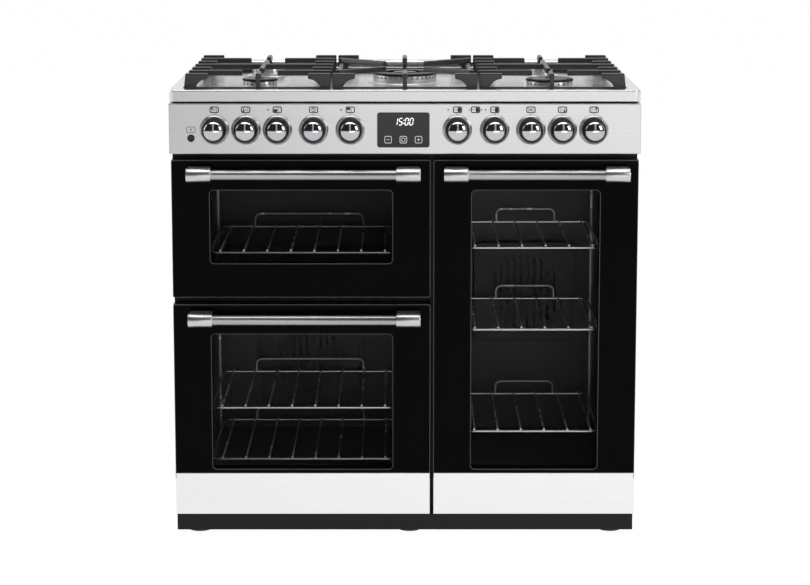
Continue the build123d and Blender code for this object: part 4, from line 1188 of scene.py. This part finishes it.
@dataclass
class Clock:
    """The clock's lit figures and touch keys, in millimetres about the clock's middle."""

    figure_height: float = 14.5
    figure_width: float = 7.4
    figure_gap: float = 1.6
    colon_width: float = 2.6
    colon_shift: float = 0.4
    colon_radius: float = 1.1
    colon_levels: tuple[float, float] = (4.4, 10.0)
    figures_left: float = -19.0
    figures_level: float = 16.0
    stroke: float = 1.7
    segment_gap: float = 0.25
    slant: float = 0.16
    keys_level: float = -18.5
    key_spread: float = 29.0
    key_size: float = 14.0
    key_line: float = 1.3
    key_corner: float = 3.0
    key_inner_corner: float = 1.9
    sign_half: float = 3.0
    sign_stroke: float = 0.6
    ring: tuple[float, float] = (4.0, 2.9)

    SEGMENTS: ClassVar[dict[str, str]] = {"0": "abcdef", "1": "bc", "5": "acdfg"}

    def bar(self, segment: str) -> Outline:
        """Work out one segment of a figure.

        Args:
            segment: The segment's letter, a to g.

        Returns:
            Its outline about the figure's lower left corner.
        """
        width, height, half, gap = self.figure_width, self.figure_height, self.stroke / 2, self.segment_gap
        levels = {"a": height - half, "g": height / 2, "d": half}
        if segment in levels:
            low, high, across = half + gap, width - half - gap, levels[segment]
        else:
            across = half if segment in "ef" else width - half
            low, high = (half, height / 2) if segment in "ec" else (height / 2, height - half)
            low, high = low + gap, high - gap
        upright = [(across, low), (across + half, low + half), (across + half, high - half), (across, high),
                   (across - half, high - half), (across - half, low + half)]
        return [(y, x) for x, y in upright] if segment in levels else upright

    def figures(self) -> list[Outline]:
        """Lay out the time as slanted figures.

        Returns:
            The outlines of all lit segments.
        """
        upright: list[Outline] = []
        left = self.figures_left
        for mark in "15:00":
            if mark == ":":
                x = left + self.colon_shift
                upright += [disc(x, level, self.colon_radius, 10) for level in self.colon_levels]
                left += self.colon_width
                continue
            for segment in self.SEGMENTS[mark]:
                upright.append([(left + x, y) for x, y in self.bar(segment)])
            left += self.figure_width + self.figure_gap
        base = self.figures_level - self.figure_height / 2
        return [[(x + y * self.slant, y + base) for x, y in outline] for outline in upright]

    def keys(self) -> list[Outline]:
        """Lay out the three touch keys: less, clock and more.

        Returns:
            The outlines of the keys' printed lines.
        """
        outlines: list[Outline] = []
        half, level, right = self.key_size / 2, self.keys_level, self.key_spread
        long, short = self.sign_half, self.sign_stroke
        for x in (-right, 0.0, right):
            sides = (x - half, x + half, level - half, level + half)
            outlines.append(rounded(sides, self.key_corner))
            outlines.append(rounded(sides, self.key_inner_corner, self.key_line))
        less = (-right - long, -right + long, level - short, level + short)
        outlines.append(rounded(less, 0.5, steps=2))
        quarter = [(short, long), (short, short), (long, short)]
        cross: Outline = []
        for _ in range(4):
            cross += [(right + x, level + y) for x, y in quarter]
            quarter = [(y, -x) for x, y in quarter]
        return [*outlines, cross, *(disc(0.0, level, radius) for radius in self.ring)]


class Fill(Enum):
    """What a knob's pictogram shows inside its frame."""

    LEFT_REAR = "left rear burner"
    LEFT_FRONT = "left front burner"
    CENTRE = "centre burner"
    RIGHT_FRONT = "right front burner"
    RIGHT_REAR = "right rear burner"
    TOP_LEFT = "upper left oven"
    LOWER_LEFT = "lower left oven"
    RIGHT = "right oven"
    DIAL = "oven function"


@dataclass
class Control:
    """A knob's name, its pictogram and whether a lamp stands beside it."""

    name: str
    fill: Fill
    lamp: bool = False


@dataclass
class ControlPanel:
    """The panel with its knobs, clock, prints and button, in metres, with edges and prints in millimetres."""

    model: Model
    knob_gap: float = 0.006
    knob_level: float = 0.796
    print_level: float = 0.8345
    light_shift: float = -0.001
    spark_rise: float = 0.0095
    lamp_offset: float = -0.0174
    panel_edge: float = 1.2
    panel_angle: float = 60.0
    frame_width: float = 17.8
    frame_height: float = 12.6
    line: float = 1.9
    fill_gap: float = 0.25
    frame_corner: float = 3.6
    inner_corner: float = 1.9
    spot: float = 1.2
    lit_spot: float = 2.1
    spot_place: tuple[float, float] = (4.1, 2.2)
    arrow_gap: float = 1.2
    arrow_length: float = 3.2
    arrow_half: float = 1.9
    spark: tuple[tuple[float, float], ...] = (
        (0.6, 3.6), (-2.2, -0.4), (-0.2, -0.4), (-0.8, -3.6), (2.2, 0.6), (0.2, 0.6))
    controls: tuple[Control, ...] = (
        Control("left_rear_burner", Fill.LEFT_REAR),
        Control("left_front_burner", Fill.LEFT_FRONT),
        Control("main_oven", Fill.LOWER_LEFT, True),
        Control("main_oven_mode", Fill.DIAL),
        Control("grill", Fill.TOP_LEFT, True),
        Control("tall_oven_mode", Fill.RIGHT, True),
        Control("tall_oven", Fill.RIGHT, True),
        Control("centre_burner", Fill.CENTRE),
        Control("right_front_burner", Fill.RIGHT_FRONT),
        Control("right_rear_burner", Fill.RIGHT_REAR),
    )

    def build(self) -> None:
        """Build the panel's pieces."""
        self.model.soften("control_panel", STEEL, self.panel_edge, 3, self.panel_angle)
        origin, first, ring = None, None, None
        for control in self.controls:
            node = f"{control.name}_knob"
            low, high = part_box(node)
            place = Vector(((low.x + high.x) / 2, FRONT - self.knob_gap, self.knob_level))
            if origin is None:
                origin, first, ring = place, KnobShape().build(place), self.bezel(place)
                knob, bezel = named(first, f"{node}_turned"), named(ring, f"{control.name}_bezel")
            else:
                knob = copied(first, f"{node}_turned", place - origin)
                bezel = copied(ring, f"{control.name}_bezel", place - origin)
            self.model.put(knob, node, None, replaces=True)
            self.model.put(bezel, "knob_bezels", BEZEL, replaces=True)
            self.pictogram(control, place.x)
        self.clock()
        self.light_print()
        self.ignition()

    def bezel(self, place: Vector) -> Piece:
        """Model the ring that a knob stands in.

        Args:
            place: The middle of the knob's base, in metres.

        Returns:
            The ring.
        """
        profile = [(25.0, 0.0), (28.5, 0.0), (28.4, 1.4), (27.8, 3.2), (26.9, 4.5), (26.0, 5.0), (25.3, 4.5),
                   (25.0, 3.4), (25.0, 0.0)]
        return turned("bezel", profile, Vector((place.x, FRONT, place.z)), Facing.FRONT, 64, True)

    def figure(self, fill: Fill) -> list[Outline]:
        """Draw a pictogram of the hob or of the ovens with one place filled in.

        Args:
            fill: The place that is filled in.

        Returns:
            The outlines of the pictogram about its middle.
        """
        half, tall = self.frame_width / 2, self.frame_height / 2
        sides = (-half, half, -tall, tall)
        outlines = [rounded(sides, self.frame_corner), rounded(sides, self.inner_corner, self.line)]
        across, up = self.spot_place
        spots = {Fill.LEFT_REAR: (-across, up), Fill.RIGHT_REAR: (across, up), Fill.CENTRE: (0.0, 0.0),
                 Fill.LEFT_FRONT: (-across, -up), Fill.RIGHT_FRONT: (across, -up)}
        inner, height = half - self.line - self.fill_gap, tall - self.line - self.fill_gap
        blocks = {Fill.TOP_LEFT: (-inner, -0.2, -0.6, height), Fill.LOWER_LEFT: (-inner, 0.0, -height, 1.2),
                  Fill.RIGHT: (0.2, inner, -height, height)}
        if fill in spots:
            for place, (x, y) in spots.items():
                outlines.append(disc(x, y, self.lit_spot if place is fill else self.spot, 14))
        elif fill in blocks:
            split = (-inner, -0.6, -0.55, 0.55) if fill is Fill.RIGHT else (0.9, 2.0, -height, height)
            outlines += [rounded(blocks[fill], 1.7, steps=3), rounded(split, 0.2, steps=2)]
        else:
            hand = rounded((-0.6, 0.6, 0.2, 2.2), 0.2, steps=2)
            outlines += [disc(0.0, 0.0, 4.0), disc(0.0, 0.0, 2.6), hand]
        return outlines

    def print_mark(self, name: str, outlines: Sequence[Outline], x: float, level: float) -> None:
        """Print a mark on the panel.

        Args:
            name: The mark's name.
            outlines: Its outlines about its middle.
            x: Its place along the panel, in metres.
            level: Its height, in metres.
        """
        mark = cut_sheet(f"{name}_print", outlines, Vector((x, FRONT - PRINT_LIFT, level)), PRINT_THICKNESS)
        self.model.put(mark, "control_panel", INK, slot="black_plastic")

    def pictogram(self, control: Control, x: float) -> None:
        """Print a knob's pictogram on the panel, with its tick and lamp.

        Args:
            control: The knob's control.
            x: The knob's place along the panel, in metres.
        """
        low = -self.frame_height / 2
        tick = rounded((-0.6, 0.6, low - 4.4, low - 0.9), 0.3, steps=2)
        self.print_mark(control.name, [*self.figure(control.fill), tick], x, self.print_level)
        if control.lamp:
            profile = [(1.9, -0.2), (1.9, 0.3), (1.4, 0.7), (0.5, 0.9)]
            place = Vector((x + self.lamp_offset, FRONT, self.print_level))
            lens = turned(f"{control.name}_lamp", profile, place, Facing.FRONT, 20)
            self.model.put(lens, "control_panel", NEON, slot="black_plastic")

    def clock(self) -> None:
        """Light the clock's figures and print its keys, whose print carries a faint painted glow."""
        low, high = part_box("clock_display")
        middle = Vector(((low.x + high.x) / 2, low.y - PRINT_LIFT, (low.z + high.z) / 2))
        shape = Clock()
        for name, outlines, finish in (("figures", shape.figures(), LIT), ("keys", shape.keys(), GLOWING_KEY_PRINT)):
            lines = cut_sheet(f"clock_{name}", outlines, middle, PRINT_THICKNESS)
            self.model.put(lines, "clock_display", finish)

    def light_print(self) -> None:
        """Print the pictogram with two arrows between the tall oven's knobs."""
        ends = [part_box(f"{name}_knob") for name in ("tall_oven_mode", "tall_oven")]
        x = sum(low.x + high.x for low, high in ends) / 4
        base, half = self.frame_width / 2 + self.arrow_gap, self.arrow_half
        tip = base + self.arrow_length
        arrows = [[(side * base, -half), (side * tip, 0.0), (side * base, half)] for side in (-1, 1)]
        outlines = [*self.figure(Fill.RIGHT), *arrows]
        self.print_mark("oven_light", outlines, x + self.light_shift, self.print_level)

    def ignition(self) -> None:
        """Model the ignition button and print the spark pictogram above it."""
        low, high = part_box("ignition_button")
        x = (low.x + high.x) / 2
        sides = (-8.5, 8.5, -6.0, 6.0)
        outlines = [rounded(sides, 2.6), rounded(sides, 1.6, 1.0), list(self.spark)]
        self.print_mark("ignition", outlines, x, high.z + self.spark_rise)
        profile = [(6.5, 0.0), (6.75, 0.3), (6.75, 12.6), (6.3, 13.6), (5.2, 14.0), (4.6, 13.7), (1.0, 13.4)]
        place = Vector((x, high.y, (low.z + high.z) / 2))
        cap = turned("ignition_button_turned", profile, place, Facing.FRONT, 32)
        self.model.put(cap, "ignition_button", PLASTIC, replaces=True)


# The oven doors and ovens


@dataclass
class OvenDoor:
    """An oven door's glass, handle, frame and trim, in millimetres."""

    model: Model
    name: str
    window: Sides
    handle_level: float
    has_trim: bool = True
    window_corner: float = 8.0
    window_line: float = 1.1
    glass_corner: float = 4.0
    ground_edge: float = 1.2
    glass_thickness: float = 5.0
    pane_thickness: float = 4.8
    inner_thickness: float = 3.8
    inner_lap: float = 20.0
    inner_setback: float = 2.0
    tube_radius: float = 10.0
    cap_radius: float = 13.5
    cap_length: float = 47.0
    stem_width: float = 43.0
    stem_half: float = 13.3
    handle_axis: float = -309.0
    cap_margin: float = 0.2
    frame_edge: float = 1.0

    def build(self) -> None:
        """Build the door's pieces."""
        self.glass()
        self.handle()
        if self.has_trim:
            self.model.soften(f"{self.name}_trim", LIT_DOOR_STRIP_STEEL, self.frame_edge, 3)
        self.model.soften(f"{self.name}_frame", DOOR, self.frame_edge)

    def glass(self) -> None:
        """Model the outer glass with its black print, a grey ground edge with a painted highlight, a grey
        painted highlight round its clear window, and the inner pane.
        """
        node = f"{self.name}_glass"
        low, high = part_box(node)
        sides = (low.x / MM, high.x / MM, low.z / MM, high.z / MM)
        corner, line, ground = self.window_corner, self.window_line, self.ground_edge
        outer = rounded(sides, self.glass_corner)
        border = rounded(sides, self.glass_corner - ground, ground)
        edge = rounded(self.window, corner + line, -line)
        opening = rounded(self.window, corner)
        inner = rounded(self.window, corner, -self.inner_lap)
        full = self.glass_thickness
        front, back = FRONT + full / 2 * MM, high.y - self.inner_setback * MM
        # The grey ring at the outer edge is the ground edge with a painted highlight; the grey ring round the
        # window is a painted highlight.
        for part, outlines, finish, y, thickness in (
                ("ground_edge", [outer, border], HIGHLIGHT_LINE, front, full),
                ("printed_glass", [border, edge], PRINTED, front, full),
                ("window_line", [edge, opening], HIGHLIGHT_LINE, front, full),
                ("window_pane", [opening], PANE, front, self.pane_thickness),
                ("inner_pane", [inner], PANE, back, self.inner_thickness)):
            sheet = cut_sheet(f"{self.name}_{part}", outlines, Vector((0, y, 0)), thickness)
            is_border = finish is PRINTED
            if is_border:
                merge_flats(sheet)
                smooth(sheet, SHARP_ANGLE)
            self.model.put(sheet, node, finish, replaces=is_border)

    def handle(self) -> None:
        """Model the handle: a tube between two end caps on block stems, the tube in a darker copy of the
        steel as painted shade and the caps and stems in a lighter copy as painted light.
        """
        node = f"{self.name}_handle"
        low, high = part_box(node)
        span, level = (high.x - low.x) / MM, self.handle_level
        cap, tube, length = self.cap_radius, self.tube_radius, self.cap_length
        end = [(cap - 2.0, 0.0), (cap - 0.6, 0.4), (cap, 1.6), (cap, length - 1.6), (cap - 0.6, length - 0.4),
               (cap - 1.6, length), (tube + 0.2, length), (tube, length + 0.4)]
        profile = end + [(radius, span - along) for radius, along in reversed(end)]
        place = Vector((low.x, self.handle_axis * MM, level * MM))
        pieces = [turned("bar", profile, place, Facing.RIGHT, 48)]
        half, tall = self.stem_width / 2, self.stem_half
        for x in (low.x / MM + length / 2, high.x / MM - length / 2):
            pieces.append(block((x - half, self.handle_axis, level - tall),
                                (x + half, high.y / MM, level + tall)))
        piece = joined(pieces, f"{self.name}_handle_bar")
        middle, bare = (low.x + high.x) / 2, (span / 2 - length - self.cap_margin) * MM
        # The tube takes the darker copy, painted shade, and the caps and stems the lighter copy, painted
        # light.
        SHADED_TUBE_STEEL.dress_with(LIT_CAP_STEEL, piece, lambda face: abs(face.center.x - middle) > bare)
        self.model.put(piece, node, None, replaces=True)


@dataclass
class Oven:
    """An oven's wire shelves, in millimetres."""

    model: Model
    name: str
    left: float
    right: float
    shelves: tuple[float, ...]
    shelf_front: float = -219.5
    shelf_rear: float = 142.5
    shelf_inset: float = 8.1
    rail: float = 3.0
    rail_draw: float = 0.9
    wire: float = 2.0
    wire_rise: float = 3.9
    wire_overlap: float = 1.0
    pitch: float = 45.7
    fence: float = 27.0
    fence_inset: float = 70.0
    corner: float = 14.0
    corner_steps: int = 6

    def bent(self, *points: Triple) -> list[Triple]:
        """Round the corners of a wire's run.

        Args:
            points: The corners of the run.

        Returns:
            The rounded run, in metres.
        """
        spots = [Vector(point) for point in points]
        run = [spots[0]]
        for before, corner, after in zip(spots, spots[1:], spots[2:]):
            start, end = (corner + way.normalized() * min(self.corner, way.length / 2)
                          for way in (before - corner, after - corner))
            for step in range(self.corner_steps + 1):
                share = step / self.corner_steps
                run.append(start.lerp(corner, share).lerp(corner.lerp(end, share), share))
        return [tuple(spot * MM) for spot in (*run, spots[-1])]

    def shelf(self, level: float) -> Piece:
        """Model one wire shelf with its fence.

        Args:
            level: Height of the shelf's edge wires.

        Returns:
            The shelf.
        """
        left, right = self.left + self.shelf_inset, self.right - self.shelf_inset
        front, rear, middle = self.shelf_front + self.rail, self.shelf_rear - self.rail, (left + right) / 2
        corners = ((middle, front), (left, front), (left, rear), (right, rear), (right, front),
                   (middle, front))
        loop = self.bent(*((x, y, level) for x, y in corners))
        frame = wires("frame", [loop], self.rail * self.rail_draw * MM)
        count = int((right - left - 2 * self.rail) / self.pitch)
        lifted, over = level + self.wire_rise, self.wire_overlap
        runs = []
        for index in range(count + 1):
            x = middle + (index - count / 2) * self.pitch
            runs.append([(x * MM, y * MM, lifted * MM) for y in (front - over, rear + over)])
        start, end, high = left + self.fence_inset, right - self.fence_inset, level + self.fence
        corners = ((start, level), (start, high), (end, high), (end, level))
        runs.append(self.bent(*((x, rear, z) for x, z in corners)))
        grid = wires("grid", runs, self.wire * MM)
        RAIL.dress(frame)
        WIRE.dress(grid)
        return joined([frame, grid], "shelf")

    def build(self) -> None:
        """Build the oven's shelves."""
        for number, level in enumerate(self.shelves, 1):
            shelf = named(self.shelf(level), f"{self.name}_shelf_{number}")
            self.model.put(shelf, "oven_shelves", None, replaces=True)


# The outer sheets and the back


@dataclass
class Chassis:
    """The outer sheets, the feet and the screws of the back, in millimetres."""

    model: Model
    panel_columns: tuple[float, ...] = (-434.0, -217.0, 0.0, 217.0, 434.0)
    panel_rows: tuple[float, ...] = (56.0, 320.0, 580.0, 838.0)
    panel_screw: float = 4.5
    box_screw: float = 3.2
    box_inset: float = 9.0

    def build(self) -> None:
        """Build the sheets' rounded copies and the screws."""
        for node, finish, width in (("side_panels", SHEET, 0.8), ("plinth", SHEET, 1.0),
                                    ("levelling_feet", PLASTIC, 1.2), ("terminal_box", PLASTIC, 2.0)):
            self.model.soften(node, finish, width, 3)
        columns, rows = self.panel_columns, self.panel_rows
        places = [(x, z) for x in columns for z in rows
                  if x in (columns[0], columns[-1]) or z in (rows[0], rows[-1])]
        self.screws("rear_panel", places, self.panel_screw)
        low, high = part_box("terminal_box")
        inset = self.box_inset
        places = [(x, z) for x in (low.x / MM + inset, high.x / MM - inset)
                  for z in (low.z / MM + inset, high.z / MM - inset)]
        self.screws("terminal_box", places, self.box_screw)

    def screws(self, node: str, places: Sequence[tuple[float, float]], radius: float) -> None:
        """Set pan-head screws in the back of a node.

        Args:
            node: The node that they hold.
            places: Where they sit across and up the back.
            radius: Radius of a head.
        """
        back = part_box(node)[1].y
        profile = [(radius, -0.3), (radius, 0.5), (radius - 0.5, 1.3), (radius - 1.4, 1.8),
                   (radius * 0.42, 2.0), (radius * 0.36, 1.2), (0.3, 1.1)]
        heads = [turned("head", profile, Vector((x * MM, back, z * MM)), Facing.BACK, 24) for x, z in places]
        self.model.put(joined(heads, f"{node}_screws"), node, PLATED, slot="plated_steel")


# The studio


@dataclass
class Softbox:
    """A soft lamp: its place and the point that it faces, its size in metres and its power in watts."""

    name: str
    place: Triple
    target: Triple
    width: float
    height: float
    power: float

    def build(self) -> None:
        """Hang the lamp."""
        deselect()
        bpy.ops.object.light_add(type="AREA", location=self.place)
        light = bpy.context.object
        light.name = self.name
        light.data.shape = "RECTANGLE"
        light.data.size = self.width
        light.data.size_y = self.height
        light.data.energy = self.power
        way = Vector(self.target) - Vector(self.place)
        light.rotation_euler = way.to_track_quat("-Z", "Y").to_euler()


@dataclass
class Studio:
    """The floor, the light and the camera, in metres and degrees, with the image's sizes in pixels."""

    image_width: int = 810
    focal_pixels: float = 2527.5
    sensor_mm: float = 36.0
    camera_place: Triple = (-0.0032, -5.0775, 1.3039)
    camera_drop: float = 9.72
    camera_turn: float = -0.04
    camera_reach: float = 400.0
    floor_size: float = 160.0
    floor_level: float = -0.0005
    floor_rough: float = 0.9
    floor_glow: float = 1.04
    glow_share: float = 0.93
    floor_colour: Triple = (0.88, 0.88, 0.88)
    room_colour: Triple = (0.88, 0.89, 0.90)
    dim_colour: Triple = (0.03, 0.03, 0.034)
    front_edge: tuple[float, float] = (0.35, 0.0)
    zenith_edge: tuple[float, float] = (0.97, 0.86)
    lamps: tuple[Softbox, ...] = (
        Softbox("top_softbox", (0.0, -0.3, 3.4), (0.0, 0.0, 0.4), 3.4, 2.2, 55.0),
        Softbox("left_softbox", (-4.0, 0.4, 2.2), (0.0, 0.0, 0.5), 1.6, 2.4, 45.0),
        Softbox("right_softbox", (3.2, -2.6, 2.3), (0.0, 0.0, 0.5), 1.4, 2.0, 50.0),
        Softbox("front_softbox", (0.9, -4.4, 0.6), (0.0, 0.0, 0.4), 3.0, 0.7, 13.0),
    )

    def build(self) -> None:
        """Build the floor, the world, the lamps and the camera."""
        self.floor()
        self.world()
        for lamp in self.lamps:
            lamp.build()
        self.camera()

    def floor(self) -> None:
        """Lay the pale floor, which is white to the camera and keeps a soft shadow."""
        deselect()
        bpy.ops.mesh.primitive_plane_add(size=self.floor_size, location=(0, 0, self.floor_level))
        plane = bpy.context.object
        plane.name = "studio_floor"
        material = bpy.data.materials.new("pale_floor")
        material.use_nodes = True
        nodes, graph = material.node_tree.nodes, Graph(material.node_tree)
        shader = nodes["Principled BSDF"]
        graph.fill(shader, {"Base Color": (*self.floor_colour, 1.0), "Roughness": self.floor_rough,
                            "Specular IOR Level": 0.0})
        glow = graph.add("Emission", {"Strength": self.floor_glow})
        ray = nodes.new("ShaderNodeLightPath").outputs
        seen = graph.math("ADD", ray["Is Camera Ray"], ray["Is Glossy Ray"], clamp=True)
        either = graph.math("ADD", seen, ray["Is Transmission Ray"], clamp=True)
        share = graph.math("MULTIPLY", either, self.glow_share)
        mix = graph.add("MixShader", {0: share, 1: shader.outputs["BSDF"], 2: glow})
        graph.fill(nodes["Material Output"], {"Surface": mix})
        plane.data.materials.append(material)
        plane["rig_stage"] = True

    def world(self) -> None:
        """Set a white room with a dim wall in front, so that bright metal has something to reflect."""
        world = bpy.data.worlds.new("white_room")
        bpy.context.scene.world = world
        world.use_nodes = True
        nodes, graph = world.node_tree.nodes, Graph(world.node_tree)
        parts = nodes.new("ShaderNodeSeparateXYZ")
        graph.fill(parts, {"Vector": graph.add("TexCoord", output="Generated")})
        shares = []
        for axis, (start, end) in (("Y", self.front_edge), ("Z", self.zenith_edge)):
            limits = {"Value": parts.outputs[axis], "From Min": start, "From Max": end}
            shares.append(graph.add("MapRange", limits, "Result", interpolation_type="SMOOTHSTEP"))
        dim = graph.math("MULTIPLY", *shares)
        wall = graph.blend(dim, (*self.room_colour, 1.0), (*self.dim_colour, 1.0))
        seen = graph.add("LightPath", output="Is Camera Ray")
        graph.fill(nodes["Background"], {"Color": graph.blend(seen, wall, (1.0, 1.0, 1.0, 1.0))})

    def camera(self) -> None:
        """Set the camera at the photograph's place."""
        deselect()
        bpy.ops.object.camera_add(location=self.camera_place)
        camera = bpy.context.object
        camera.name = "front_camera"
        camera.rotation_euler = (math.radians(90 - self.camera_drop), 0, math.radians(self.camera_turn))
        camera.data.sensor_width = self.sensor_mm
        camera.data.lens = self.sensor_mm * self.focal_pixels / self.image_width
        camera.data.clip_end = self.camera_reach
        bpy.context.scene.camera = camera


def main() -> None:
    """Build the dressed cooker and its studio."""
    logging.basicConfig(level=logging.INFO, format="%(message)s")
    model = Model()
    model.dress_nodes()
    for assembly in (
        Hob(model),
        ControlPanel(model),
        OvenDoor(model, "grill_door", (-374.0, -24.0, 538.0, 680.0), 713.0, has_trim=False),
        OvenDoor(model, "main_door", (-374.0, -24.0, 132.0, 400.0), 433.0),
        OvenDoor(model, "tall_door", (128.0, 374.0, 132.0, 680.0), 713.0),
        Oven(model, "grill_oven", -389.5, -8.5, (550.0,)),
        Oven(model, "main_oven", -389.5, -8.5, (138.0, 242.0)),
        Oven(model, "tall_oven", 112.5, 389.5, (194.0, 398.0, 560.0)),
        Chassis(model),
        Studio(),
    ):
        assembly.build()
    bpy.context.scene.view_settings.view_transform = "Standard"


if __name__ == "__main__":
    main()
